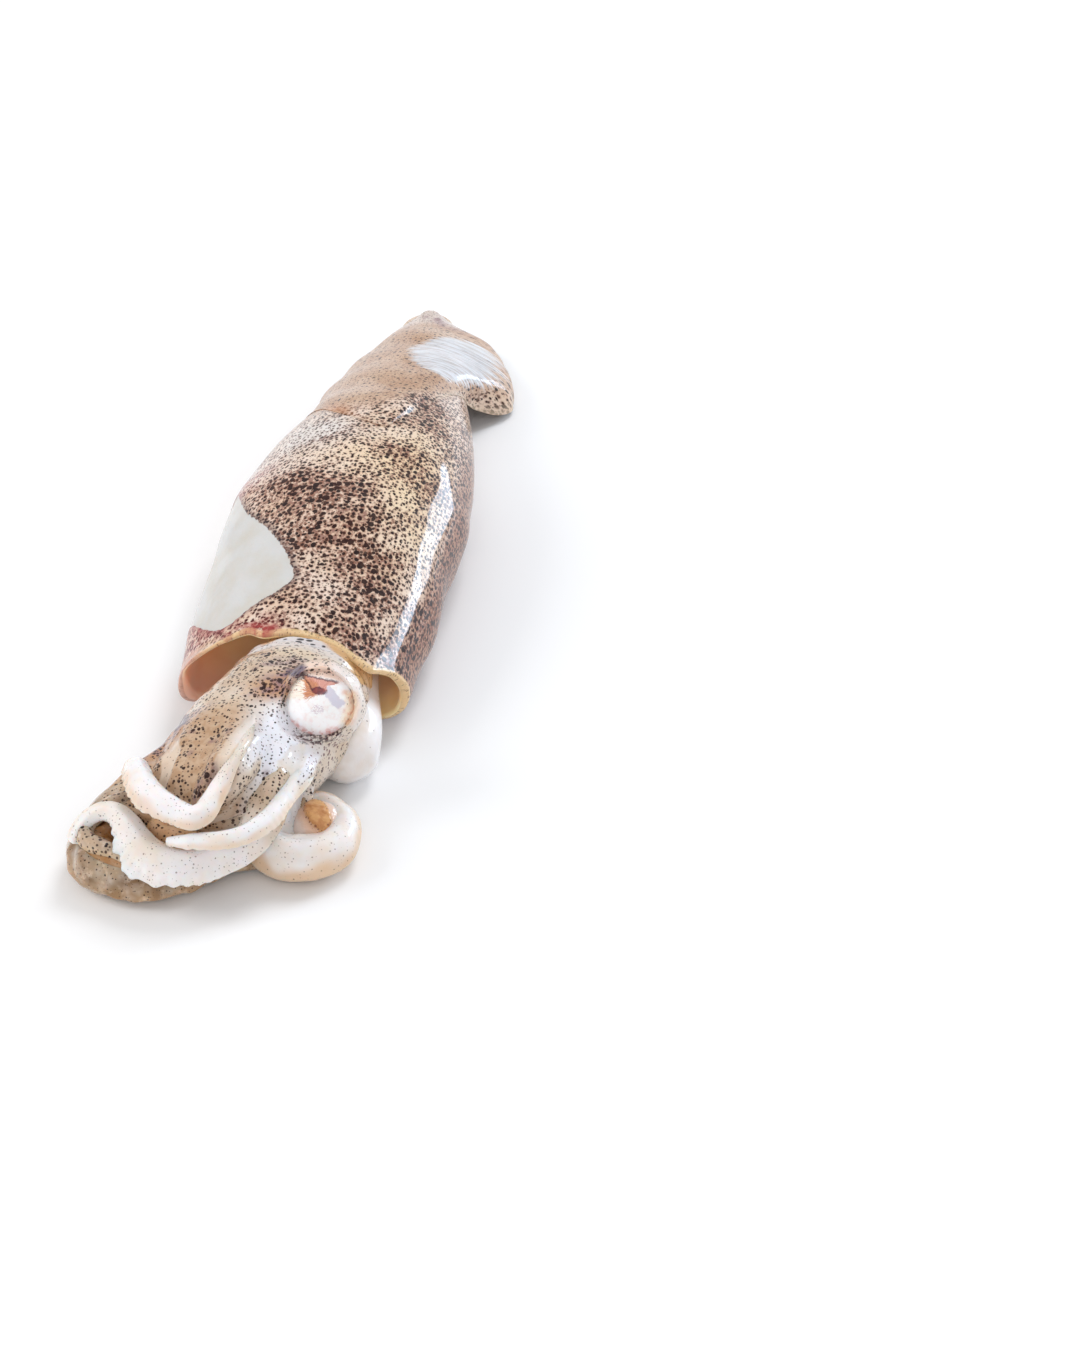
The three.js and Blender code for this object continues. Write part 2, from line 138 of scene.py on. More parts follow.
# How far the hollow's middle lies in front of the eye's, and to its right.
SOCKET_AHEAD, SOCKET_ASIDE = 9.7, -1.0
SOCKETS = [
    np.array(EYES[name]) + SOCKET_AHEAD * ahead + SOCKET_ASIDE * right
    for name, (ahead, right, _) in EYE_AXES.items()
]
FUNNEL = [[13, -66, 9.5], [14, -77, 9], [14.6, -88, 7.6], [14.4, -99.5, 5.4]]
RIDGE_RADIUS = 3.9  # of the skin that a ridge lifts
# The floor of the coil: its middle and half sizes, and the middle of the oval on it.
FLOOR_AT, FLOOR_HALF, OVAL_AT = (12.8, -116.2, 4.6), (5.0, 6.0, 4.0), (13.2, -117.0)

# Arms and tentacles: the route that each follows from inside the head; its radius, [share, mm]; how much
# wider than tall it is, flat; the fringe along one edge, (direction in degrees, reach in mm, first and
# last share); its look, how spotted, tan, grey, smoothly white and, towards one edge or the other by its
# sign, amber it is; and the height of its lumps in mm. The grey is a brown that is partly the flesh's own
# and partly painted shade near the table with a painted brown reflection; the amber is painted shade on
# the lower side with a painted glow of light through the thin edge. Where they are given, root is how much
# of the head's look its root has instead of all of it, deep is how deep an orange it is, partly the
# flesh's own and partly painted shade of the hollows that the arm lies in, and ridge is the line that lifts
# the head's skin instead of the route.
ARMS = {
    "arm_1_left": dict(
        route=[
            (0.4, -108.6, 22), (0.3, -113.5, 22.6), (0.1, -118.6, 22.9), (-0.6, -122.6, 22.6),
            (-1.6, -125.6, 21.4), (-2.4, -128.3, 20.2), (-3.3, -131.2, 19.2), (-4.3, -134.4, 18.6),
            (-6.1, -135.6, 18.2), (-9.1, -134.3, 18.2), (-12.1, -133, 18.8), (-15.1, -130.6, 19.2),
            (-17.6, -127.2, 19.2), (-19.6, -122.4, 18.6), (-21, -118.1, 17.2),
        ],
        ridge=[
            (-1, -103, 12.5), (-1.6, -105.5, 17.4), (-1.6, -112, 18.6), (-2, -117.2, 19),
            (-2.4, -122.4, 19.2), (-2.8, -126.7, 19.1), (-3.5, -130.6, 18.8), (-4.4, -134.1, 18.4),
            (-6.2, -135.3, 18),
        ],
        radius=[
            [0, 0.2], [0.1, 0.7], [0.2, 0.9], [0.28, 1.1], [0.38, 1.6], [0.51, 2.1], [0.62, 2.3],
            [0.76, 2.5], [0.87, 2.2], [0.94, 2.1], [1, 2],
        ],
        flat=1.16, fringe=(195, 0.6, 0.62, 0.95), look=(0.4, 0.0, 0.0, 0.9, -0.6), lumps=0.0, root=0.5,
    ),
    "arm_1_right": dict(
        route=[
            (-6, -98, 15), (-9.6, -108.4, 16), (-12.8, -115.6, 14.6), (-17.4, -119.6, 12.4),
            (-22.4, -122.6, 11.8), (-26, -126.2, 11.6), (-27.9, -130.4, 11), (-27, -133.8, 10.4),
            (-24, -135.4, 9.8), (-20.4, -136.6, 9.2), (-16.8, -138, 8),
        ],
        radius=[[0, 4.1], [0.3, 3.8], [0.42, 2.9], [0.55, 2.1], [0.8, 1.8], [1, 1.7]],
        flat=1.0, fringe=(0, 0.0, 0.5, 0.9), look=(1.0, 0.15, 0.6, 0.0, 0.5), lumps=0.1,
    ),
    "arm_2_right": dict(
        route=[
            (-9, -95, 10.5), (-14, -104.6, 11.4), (-18.4, -111.6, 11), (-23.2, -117.6, 9.6),
            (-26.5, -122, 8), (-28.2, -126.6, 6.2), (-27.6, -131.6, 5), (-25, -135, 4.6),
            (-20.4, -136.4, 4.4), (-14.4, -136.4, 4.2), (-8.8, -133.8, 3.6), (-4.4, -130, 3.2),
            (0.6, -126.6, 2.8), (6.4, -125, 3),
        ],
        radius=[[0, 4.1], [0.4, 3.9], [0.55, 4.4], [0.7, 4.3], [0.8, 3.2], [0.88, 2.3], [1, 2.2]],
        flat=1.0, fringe=(180, 0.5, 0.4, 0.8), look=(0.5, 0.4, 1.0, 0.0, 0.3), lumps=0.32,
    ),
    "arm_2_left": dict(
        route=[
            (3, -101, 12), (4.4, -109, 15), (4.6, -118, 14.4), (4.4, -125, 11.6), (2.5, -130.2, 9.6),
            (-1.4, -134.4, 9), (-5.6, -138.1, 9), (-10, -139.2, 9.4), (-14, -138.1, 10.6),
            (-16.8, -135.9, 12.2), (-19.3, -133.1, 13.4), (-22.1, -130.6, 14.2), (-25, -130, 14),
            (-27.3, -130.8, 12.8), (-29, -132.4, 11), (-29.8, -133.8, 9),
        ],
        radius=[
            [0, 2.4], [0.2, 3.8], [0.3, 3.6], [0.4, 2.9], [0.55, 2.9], [0.66, 2.9], [0.76, 2.3],
            [0.85, 1.8], [1, 1.2],
        ],
        flat=1.25, fringe=(188, 2.2, 0.6, 0.74), look=(0.8, 0.0, 0.0, 0.85, 0.25), lumps=0.0,
    ),
    "arm_3_left": dict(
        route=[
            (6.6, -99, 11.6), (9.2, -108, 13.6), (9.7, -115, 14.6), (8.4, -122, 14.6), (6.4, -129.4, 14.6),
            (3.6, -134, 14.5), (-0.5, -136.9, 14.6), (-6.2, -138, 14.6), (-11, -137.2, 13.6),
        ],
        radius=[[0, 2.4], [0.3, 2], [0.42, 1.6], [0.7, 1.45], [0.9, 1.1], [1, 0.5]],
        flat=1.35, fringe=(180, 0.3, 0.5, 0.95), look=(0.35, 0.0, 0.0, 1.0, -0.5), lumps=0.0, root=0,
    ),
    "arm_3_right": dict(
        route=[
            (-10, -97, 7.4), (-13.6, -108, 6.6), (-18, -117, 6.2), (-22, -123, 6.4), (-25.4, -128.6, 7.2),
            (-25.6, -132.8, 7.8), (-22.4, -135.4, 7.6), (-18, -136.8, 7), (-13, -136.4, 6),
        ],
        radius=[[0, 4.1], [0.5, 3.5], [0.75, 3], [1, 2.2]],
        flat=1.0, fringe=(180, 0.0, 0.5, 0.9), look=(0.6, 0.8, 0.7, 0.0, 0.4), lumps=0.3, deep=0.9,
    ),
    "arm_4_right": dict(
        route=[
            (-5, -98, 6), (-7.6, -109, 5), (-10.6, -118, 5), (-14.4, -124, 7.4), (-13.6, -129.4, 8.8),
            (-8.4, -130.6, 8.6), (-3, -127.4, 6),
        ],
        radius=[[0, 4.1], [0.5, 3.6], [0.85, 2.9], [1, 2.2]],
        flat=1.0, fringe=(180, 0.0, 0.5, 0.9), look=(0.8, 0.6, 0.0, 0.0, 1.4), lumps=0.0, deep=0.5,
    ),
    "arm_4_left": dict(
        route=[
            (2.6, -100, 7.4), (4, -108.5, 7.6), (5, -117.4, 6.8), (4.5, -123.7, 5.4), (8.3, -127.2, 4.9),
            (13.3, -127.2, 4.8), (17.1, -124.1, 4.7), (18.4, -119, 4.6), (17.2, -113.4, 4.6),
            (14.3, -109.6, 4.8), (11.4, -108.6, 5), (9.7, -110.6, 5), (9.5, -113.8, 4.6),
        ],
        radius=[
            [0, 3.4], [0.3, 4.2], [0.45, 4.4], [0.6, 4.2], [0.7, 3.5], [0.8, 2.7], [0.88, 2], [1, 1.5],
        ],
        flat=1.05, fringe=(180, 0.0, 0.4, 0.8), look=(0.5, 0.0, 0.0, 0.9, 0.85), lumps=0.0, root=0,
    ),
    "tentacle_left": dict(
        route=[
            (1, -100, 4.4), (4.6, -105, 6), (8.2, -109.2, 8.2), (9.5, -111.7, 7.8), (9.7, -114.3, 6.6),
            (9.4, -116.1, 5),
        ],
        radius=[[0, 2.2], [0.5, 1.7], [1, 1.3]],
        flat=1.1, fringe=(180, 0.0, 0.5, 0.9), look=(0.5, 0.9, 0.3, 0.0, 0.0), lumps=0.0,
    ),
    "tentacle_right": dict(
        route=[
            (-2.4, -99, 4.2), (-1.4, -110, 2.8), (3.6, -117.6, 2.4), (3.8, -123.4, 2.8), (-0.4, -127, 4),
            (-5, -128.6, 5), (-9.4, -130, 6),
        ],
        radius=[[0, 2.4], [0.5, 2.1], [1, 1.6]],
        flat=1.0, fringe=(180, 0.0, 0.5, 0.9), look=(0.4, 0.8, 0.2, 0.0, 1.0), lumps=0.0, deep=1.0,
    ),
}
# The bare patch on the mantle's left flank, where the skin is torn off: [angle in degrees, y].
BARE = [
    [150, -18], [134.7, -30], [123.7, -36], [114.3, -41.5], [105.7, -47.8], [99.3, -53.5], [95.7, -59],
    [100.7, -62.8], [108.3, -65.8], [117.3, -69], [126, -71.5], [135, -71.3], [147, -68], [162.7, -62.5],
    [178, -60], [200, -55], [206, -42], [198, -26], [176, -16], [160, -14.5],
]
# The whitish, fibrous patch where the right fin's skin is stripped: [angle in degrees, y].
FIBRES = [
    [97, 71], [86, 60], [76, 53], [55, 50], [35, 56], [14, 66], [6, 80], [10, 94], [38, 91], [60, 87],
    [79, 82], [91, 76.5],
]
# Bands on the head between its dotted ridges, smooth white ones and tan ones: lines of (x, y, half width).
WEBS = [
    [
        (-14.4, -107.5, 0.0), (-14.6, -110.2, 0.9), (-14.9, -114.9, 1.5), (-14.9, -119.2, 1.3),
        (-15.4, -124, 0.8),
    ],
    [
        (-0.4, -106.6, 0.0), (-0.7, -109.7, 1.3), (-1.5, -113.6, 1.8), (-2.1, -119.7, 1.9),
        (-2.8, -124.1, 1.8), (-3.6, -130, 1.5),
    ],
    [(9.2, -107.5, 0.2), (8.9, -112.6, 1.6), (8.1, -116.4, 2), (7.1, -121.4, 2), (5.6, -128, 1.6)],
]
TANS = [
    [(-8, -106, 0.2), (-8.3, -112.3, 0.9), (-8.5, -117.5, 0.8), (-8.7, -122.2, 0.5)],
    [
        (1.4, -108, 0.2), (1.2, -111, 0.8), (0.7, -114, 0.9), (0.1, -118.5, 1), (-0.8, -123.1, 1),
        (-2, -128, 1),
    ],
]
# Dark clumps of pigment on the head and arms: (x, y, radius).
CLUMPS = [
    (-11.1, -116.4, 1.2), (-11.5, -110.9, 1.2), (-7, -113.9, 1.1), (-4.1, -112.9, 1.2), (-6.2, -125.1, 1.7),
    (-4.8, -124.6, 1.3), (-7.4, -126, 1.5), (4.4, -123.4, 1.5), (1.7, -124.8, 1.6), (5.1, -121.6, 1.2),
    (-0.2, -126.6, 1.2), (4.7, -119.2, 1.3), (-12.5, -104.4, 1), (-2.1, -87.2, 1.4), (5.2, -89.6, 2.2),
    (1.6, -90.2, 2), (-0.6, -91.6, 1.4), (2, -97.2, 1.1), (-2.9, -93, 1), (8.6, -91.4, 1.6),
]


# ------------------------------------------------------------------ curves, waves and grids
def smooth(rows, at, column=1):
    """Cubic Hermite curve through [t, value] rows, read at an array; each slope is that from the row
    before to the row after."""
    rows = np.array(sorted(rows), float)
    t, value = rows[:, 0], rows[:, column]
    low, high = np.maximum(np.arange(len(t)) - 1, 0), np.minimum(np.arange(len(t)) + 1, len(t) - 1)
    slope = (value[high] - value[low]) / (t[high] - t[low])
    at = np.asarray(at, float)
    i = np.clip(np.searchsorted(t, at, side="right") - 1, 0, len(t) - 2)
    span = t[i + 1] - t[i]
    x = np.clip((at - t[i]) / span, 0, 1)
    ends = (2 * x**3 - 3 * x**2 + 1) * value[i] + (3 * x**2 - 2 * x**3) * value[i + 1]
    return ends + ((x**3 - 2 * x**2 + x) * slope[i] + (x**3 - x**2) * slope[i + 1]) * span


def step(low, high, x):
    """0 below low, 1 above high, and the cubic 3t^2 - 2t^3 between them; low may be above high."""
    t = np.clip((np.asarray(x, float) - low) / (high - low), 0, 1)
    return t * t * (3 - 2 * t)


def bell(x, middle, width):
    """exp(-((x - middle) / width)^2)."""
    return np.exp(-(((x - middle) / width) ** 2))


def turn_gap(degrees, middle):
    """The signed gap between two directions, within half a turn."""
    return (degrees - middle + 540) % 360 - 180


def turn_bell(degrees, middle, width):
    """The bell of the gap between two directions."""
    return bell(turn_gap(degrees, middle), 0, width)


def rounded(share):
    """A quarter circle, from 0 at share 0 to 1 at share 1: sqrt(1 - (1 - share)^2)."""
    return np.sqrt(np.clip(1 - (1 - share) ** 2, 0, 1))


def larger(a, b, soft):
    """The larger of two values with a rounded change between them: (a + b + sqrt((a - b)^2 + soft^2)) /
    2."""
    return 0.5 * (a + b + np.sqrt((a - b) ** 2 + soft**2))


def waves(points, size, seed):
    """Smooth unevenness from -1 to 1: the mean of six sine waves of about this size in seeded
    directions."""
    dice = np.random.default_rng(seed)
    total = 0.0
    for _ in range(6):
        way = dice.normal(size=3)
        way *= dice.uniform(0.7, 1.5) * 2 * np.pi / size / np.linalg.norm(way)
        total = total + np.sin(points @ way + dice.uniform(0, 6.28))
    return total / 3


def skin(name, points, uv, fields=None, wrap=True, poles=(True, True), finish=None):
    """A mesh from a grid of points [rows, columns, 3] in mm. Neighbours make a quad, wrap joins the last
    column to the first, and a pole is one point, the mean of an end row, that closes it with
    triangles."""
    rows, cols = points.shape[:2]
    last = cols if wrap else cols - 1
    row, col = np.arange(rows - 1)[:, None], np.arange(last)[None, :]
    beside = (col + 1) % cols
    here, ahead = row * cols, (row + 1) * cols
    quad = np.stack([here + col, here + beside, ahead + beside, ahead + col], -1)
    wide = uv.shape[1]
    here, ahead = row * wide, (row + 1) * wide
    quad_uv = np.stack([here + col, here + col + 1, ahead + col + 1, ahead + col], -1)
    verts = [points.reshape(-1, 3)]
    places = [uv.reshape(-1, 2)]
    corners, corner_uv = [quad.reshape(-1)], [quad_uv.reshape(-1)]
    starts = [np.arange(quad.size // 4) * 4]
    used, extra, extra_rows = quad.size, rows * cols, []
    for end, wanted in zip((0, rows - 1), poles):
        if not wanted:
            continue
        col = np.arange(cols)
        first, second = end * cols + col, end * cols + (col + 1) % cols
        pair = (second, first) if end == 0 else (first, second)
        fan = np.stack([*pair, np.full(cols, extra)], -1)
        pole_uv = np.full(cols, rows * wide + len(places) - 1)
        fan_uv = np.stack([end * wide + col, end * wide + col, pole_uv], -1)
        verts.append(points[end].mean(0)[None])
        places.append(uv[end].mean(0)[None])
        corners.append(fan.reshape(-1))
        corner_uv.append(fan_uv.reshape(-1))
        starts.append(used + np.arange(cols) * 3)
        used += cols * 3
        extra += 1
        extra_rows.append(end)
    verts, places = np.concatenate(verts), np.concatenate(places)
    corners, corner_uv, starts = np.concatenate(corners), np.concatenate(corner_uv), np.concatenate(starts)
    values = {}
    for key, grid in (fields or {}).items():
        grid = np.broadcast_to(grid, (rows, cols))
        values[key] = np.concatenate([grid.reshape(-1), [grid[end].mean() for end in extra_rows]])
    return put(name, verts, corners, starts, places[corner_uv], values, finish)


def put(name, verts, corners, starts, loop_uv, values, finish):
    """The mesh object of given corners, turned inside out if its volume comes out negative."""
    mesh = bpy.data.meshes.new(name)
    mesh.vertices.add(len(verts))
    mesh.vertices.foreach_set("co", (verts * 0.001).astype(np.float32).ravel())
    mesh.loops.add(len(corners))
    mesh.loops.foreach_set("vertex_index", corners.astype(np.int32))
    mesh.polygons.add(len(starts))
    mesh.polygons.foreach_set("loop_start", starts.astype(np.int32))
    mesh.uv_layers.new(name="Skin").uv.foreach_set("vector", (loop_uv * 0.01).astype(np.float32).ravel())
    for key, value in values.items():
        mesh.attributes.new(key, "FLOAT", "POINT").data.foreach_set("value", value.astype(np.float32))
    mesh.update(calc_edges=True)
    mesh.polygons.foreach_set("use_smooth", np.ones(len(starts), bool))
    ends = np.append(starts[1:], len(corners))
    a = verts[corners[starts]]
    b, c = verts[corners[starts + 1]], verts[corners[starts + 2]]
    d = verts[corners[np.minimum(starts + 3, ends - 1)]]
    volume = (a * np.cross(b, c)).sum() + (a * np.cross(c, d)).sum()
    if volume < 0:
        mesh.flip_normals()
    mesh.update()
    made = bpy.data.objects.new(name, mesh)
    bpy.context.scene.collection.objects.link(made)
    if finish:
        mesh.materials.append(finish)
    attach(made, "root")
    return made


def across(points):
    """Unit normals of a grid of points, from the cross product of its two directions."""
    normal = np.cross(np.gradient(points, axis=0), np.gradient(points, axis=1))
    return normal / np.maximum(np.linalg.norm(normal, axis=-1, keepdims=True), 1e-9)


# ------------------------------------------------------------------ mantle and fins
def mantle_point(y, angle, depth=0.0):
    """The mantle's skin, or a skin inset by depth. Over the widest line it is half an ellipse, and under
    it a flatter curve, with the sine to the power 0.72. Near the mouth it flares outwards on one side."""
    height = smooth(MANTLE, y, 2)
    side = SIDE_HEIGHT * height
    turned = turn_gap(np.degrees(angle), FLARE_ANGLE) / FLARE_WIDTH
    ahead = np.maximum(0, (y - MOUTH_Y) / FLARE_REACH)
    inset = depth - FLARE_RISE * np.exp(-(turned**2) - ahead**2)
    x = smooth(MIDDLE, y) + (smooth(MANTLE, y) - inset) * np.cos(angle)
    lift = np.sin(angle)
    up = side + (height - side - inset) * lift
    down = side - (side + BELLY_SINK - inset) * np.abs(lift) ** 0.72
    return np.stack(np.broadcast_arrays(x, y, np.where(lift >= 0, up, down)), -1)


def drawn_in(y, angle, depth, share):
    """The mantle's section at y, drawn in to a share of its size about the middle of its height."""
    centre = np.stack(np.broadcast_arrays(smooth(MIDDLE, y), y, smooth(MANTLE, y, 2) / 2), -1)
    return centre + (mantle_point(y, angle, depth) - centre) * share[..., None]


def direction(points, y):
    """Each point's angle round the mantle: that of its place in the section, with each axis scaled to 1."""
    height = smooth(MANTLE, y, 2)
    side = SIDE_HEIGHT * height
    over = (points[..., 0] - smooth(MIDDLE, y)) / smooth(MANTLE, y)
    return np.arctan2((points[..., 2] - side) / (height - side), over)


def mouth_edge(angle):
    """Where the front edge lies, by direction."""
    return smooth(MOUTH_EDGE, (np.degrees(angle) + 90) % 360 - 90)


def girth(y):
    """Mean radius of the mantle, which turns angles into millimetres of skin."""
    return 0.5 * smooth(MANTLE, y) + 0.29 * smooth(MANTLE, y, 2)


def outline_distance(outline, across_mm, y):
    """Signed distance in mm to a smooth closed outline given as [angle in degrees, y] rows, positive
    inside it: the least distance to the pieces of a Catmull-Rom curve through them."""
    corner = np.array(outline, float)
    corner = np.stack([np.radians(corner[:, 0] - 90) * girth(corner[:, 1]), corner[:, 1]], -1)
    t = np.linspace(0, len(corner), 141)[:-1]
    i, f = t.astype(int), (t % 1)[:, None]
    p0, p1, p2, p3 = (corner[(i + k) % len(corner)] for k in (-1, 0, 1, 2))
    ring = 2 * p1 + (p2 - p0) * f + (2 * p0 - 5 * p1 + 4 * p2 - p3) * f**2
    ring = 0.5 * (ring + (3 * p1 - p0 - 3 * p2 + p3) * f**3)
    best, inside = np.full(across_mm.shape, 1e9), np.zeros(across_mm.shape, bool)
    for a, b in zip(ring, np.roll(ring, -1, 0)):
        way = b - a
        along = np.clip(((across_mm - a[0]) * way[0] + (y - a[1]) * way[1]) / (way @ way), 0, 1)
        best = np.minimum(best, np.hypot(across_mm - a[0] - along * way[0], y - a[1] - along * way[1]))
        crosses = (a[1] > y) != (b[1] > y)
        inside ^= crosses & (across_mm < a[0] + (y - a[1]) / (way[1] if way[1] else 1e-9) * way[0])
    return np.where(inside, best, -best)


# Clouds of pigment on the mantle, and paler places: [strength, angle, width in degrees, y, length in mm].
CLOUDS = [
    [0.85, 102, 20, -27, 6.5], [0.5, 84, 12, -28, 6], [0.55, 64, 18, -10, 6], [0.8, 96, 14, -44, 9],
    [0.5, 70, 14, -40, 9], [0.5, 94, 12, -69, 5], [0.8, 54, 12, -58, 8], [0.55, 68, 11, -52, 7],
    [0.8, 60, 16, -74, 6], [1.0, 25, 12, -70, 12], [0.85, 8, 14, -44, 20], [0.55, 41, 11, -20, 8],
    [0.5, 20, 14, -10, 16], [0.45, 20, 14, 22, 16], [0.8, 58, 14, 24, 12], [0.4, 47, 12, 6, 9],
    [0.5, 96, 16, -84, 8], [0.4, 118, 12, -28, 6],
    [-0.5, 84, 10, -10, 5], [-0.5, 57, 14, 3, 6], [-0.4, 57, 9, -25, 5], [-0.4, 36, 12, -33, 9],
    [-0.3, 84, 7, -57, 5], [-0.5, 86, 8, -72, 4], [-0.4, 120, 16, -2, 9], [-0.5, 140, 14, -16, 8],
    [-0.3, 35, 10, -52, 8], [-0.35, 42, 7, -66, 6], [-0.3, 104, 14, -17, 4],
]


def skin_fields(points, across_mm, y, angle):
    """Masks over the mantle's skin: clouds of pigment and patches as sums of two-way bells, and the
    places that are tan, pale, warm, in the shade of the flank, stained or stripped."""
    degrees = np.degrees(angle)

    def patch(at, wide, place, long):
        """A bell round and along the mantle."""
        return np.exp(-((turn_gap(degrees, at) / wide) ** 2) - ((y - place) / long) ** 2)

    clouds = sum(strength * patch(*where) for strength, *where in CLOUDS)
    dense = 0.52 + 0.74 * clouds + 0.16 * waves(points, 13, 3)
    red = 1.1 * patch(148, 20, -16, 8) + 1.5 * patch(158, 28, -68, 9) + 1.2 * patch(103, 8, -76, 4)
    red = red + 0.7 * patch(126, 12, -72, 3) + patch(180, 30, -60, 10)
    tail = y - 15 - 0.62 * np.maximum(turn_gap(90, degrees), 0)
    pale = patch(122, 14, 0, 10) + patch(106, 12, 1, 7) + patch(160, 14, -4, 22) + 1.1 * step(101, 112, y)
    stain = patch(60, 22, 110, 4) + 1.3 * patch(34, 9, -75, 2)
    stain = stain + 0.7 * patch(45, 24, 104, 3) + 0.6 * patch(100, 12, 112, 3)
    return {
        "dense": np.clip(dense * step(14, -4, tail) + 0.12, 0, 1.2),
        "red": np.clip(red, 0, 1),
        "tan": step(-6, 6, tail),
        "pale": np.clip(pale, 0, 1),
        "warm": np.clip(0.9 * patch(50, 26, -18, 30) + 0.5 * patch(70, 30, -12, 8), 0, 1),
        "flank": step(34, 12, degrees) * step(34, 5, y),
        "stain": np.clip(stain, 0, 1),
        "fibre": outline_distance(FIBRES, across_mm, y),
    }


def mantle_skin(wall, rows_in, rows_out, cols):
    """The sleeve, from the end of its cavity forwards along the inner wall, round the edge and back to
    the tail. The wall thins towards the edge, less so low on the left, where it is rolled outwards, and
    on the right. Returns its points, their places across and along, their angles, whether they are
    inside, and how far within the bare patch."""
    angle = np.linspace(-np.pi / 2, 1.5 * np.pi, cols + 1)[None, :]
    degrees = np.degrees(angle)
    edge = mouth_edge(angle)
    full = 1.3 * np.exp(-((turn_gap(degrees, FLARE_ANGLE) / 36) ** 4)) + 0.5 * turn_bell(degrees, 0, 36)
    brink = wall * (0.34 + 0.66 * full)
    caps = np.linspace(0, 1, 14)[1:, None] * np.pi / 2
    start = CAVITY_END_Y - CAP_LENGTH
    y_cap = CAVITY_END_Y - CAP_LENGTH * (1 - np.cos(caps)) + 0 * angle
    cap = drawn_in(y_cap, angle, wall, np.sin(caps))
    t = np.linspace(0, 1, rows_in)[1:, None]
    inner_y = start + (edge + brink / 2 - start) * t
    inner = mantle_point(inner_y, angle, wall + (brink - wall) * step(11, 0, inner_y - edge))
    t = np.linspace(0, np.pi, 14)[1:-1, None]
    lip_y = edge + brink / 2 * (1 - np.sin(t))
    lip = mantle_point(lip_y, angle, brink / 2 * (1 + np.cos(t)))
    t = np.linspace(0, 1, rows_out)[:, None]
    end = TAIL_Y - TAIL_ROUND
    outer = mantle_point(edge + brink / 2 + (end - edge - brink / 2) * t, angle)
    t = np.linspace(0, np.pi / 2, 10)[1:, None]
    tip = drawn_in(end + TAIL_ROUND * np.sin(t) + 0 * angle, angle, 0.0, np.cos(t))
    points = np.concatenate([cap, inner, lip, outer, tip])
    rows = len(points)
    angle = np.broadcast_to(angle, points.shape[:2])
    degrees = np.degrees(angle)
    y = points[..., 1]
    inside = np.concatenate([np.ones(len(cap) + len(inner)), np.linspace(1, 0, 12), np.zeros(rows_out + 9)])
    inside = np.broadcast_to(inside[:, None], (rows, cols + 1))
    taut = (1 - 0.85 * turn_bell(degrees, 30, 16) * step(12, 0, y)) * step(14, -10, y)
    swell = (0.45 * waves(points, 34, 11) + 0.16 * waves(points, 11, 12)) * taut
    across_mm = (angle - np.pi / 2) * girth(y)
    bare = outline_distance(BARE, across_mm, y)
    swell = swell * (1 - inside) + 0.4 * inside * waves(points, 22, 13)
    swell = swell - 0.35 * step(-0.2, 0.25, bare) * (1 - inside)
    out = across(points)
    out *= np.sign((out[rows // 2] * (points[rows // 2] - points[rows // 2].mean(0))).sum())
    points = points + out * (swell * step(1.0, 6.0, points[..., 2]))[..., None]
    points[..., 2] = larger(points[..., 2], 0.05, 0.3)
    return points, across_mm, y, angle, inside, bare


class SQUID_OT_mantle(bpy.types.Operator):
    """The limp sleeve of the body, open at the front, with its bare patch and thick edge"""

    bl_idname = "squid.mantle"
    bl_label = "Mantle"

    def execute(self, context):
        wall = context.scene.squid_sizes.wall
        points, across_mm, y, angle, inside, bare = mantle_skin(wall, 40, 250, 280)
        degrees = np.degrees(angle)
        fields = skin_fields(points, across_mm, y, angle)
        fields["bare"] = bare
        fields["rim"] = y - mouth_edge(angle)
        fields["blush"] = bell(degrees, 104, 9) + 0.5 * bell(degrees, 122, 8)
        fields["lobe"] = step(128, 152, degrees) * step(258, 244, degrees)
        made = skin(
            "mantle_skin",
            points[:, :-1],
            np.stack([across_mm, y], -1),
            {key: grid[:, :-1] for key, grid in fields.items()},
            finish=skin_finish("mantle skin", sleeve=True),
        )
        made.data.materials.append(lining_finish("mantle lining"))
        cols = inside.shape[1]
        lined = np.repeat(inside[:-1, 0] > 0.55, cols - 1)
        fans = np.repeat([True, False], cols - 1)
        made.data.polygons.foreach_set("material_index", np.concatenate([lined, fans]).astype(np.int32))
        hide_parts("mantle")
        return {"FINISHED"}


def fin_surface(y, share):
    """The fins' upper side: at each y, a Bezier curve from the back, share 0, over the flank to the left
    margin, share -1, or the right one, share 1."""
    height = smooth(MANTLE, y, 2)
    total = 0.0
    for side in (-1, 1):
        edge = smooth(MIDDLE, y) + side * smooth(MANTLE, y)
        margin_x, margin_z = smooth(FIN_MARGIN[side], y, 1), smooth(FIN_MARGIN[side], y, 2)
        root_x = smooth(FIN_ROOT, y)
        t = np.abs(share) * smooth(FIN_REACH[side], y)
        shoulder_x = root_x + 0.75 * (edge - root_x)
        flank_x = side * np.maximum(side * edge + 1.6, side * margin_x + 0.6)
        weights = ((1 - t) ** 3, 3 * (1 - t) ** 2 * t, 3 * (1 - t) * t**2, t**3)
        x = sum(a * b for a, b in zip(weights, (root_x, shoulder_x, flank_x, margin_x)))
        z = sum(a * b for a, b in zip(weights, (height + 0.5, height + 1.3, 0.62 * height, margin_z)))
        here = np.stack(np.broadcast_arrays(x, y, z), -1)
        total = total + np.where((share < 0) == (side < 0), 1, 0)[..., None] * here
    return total


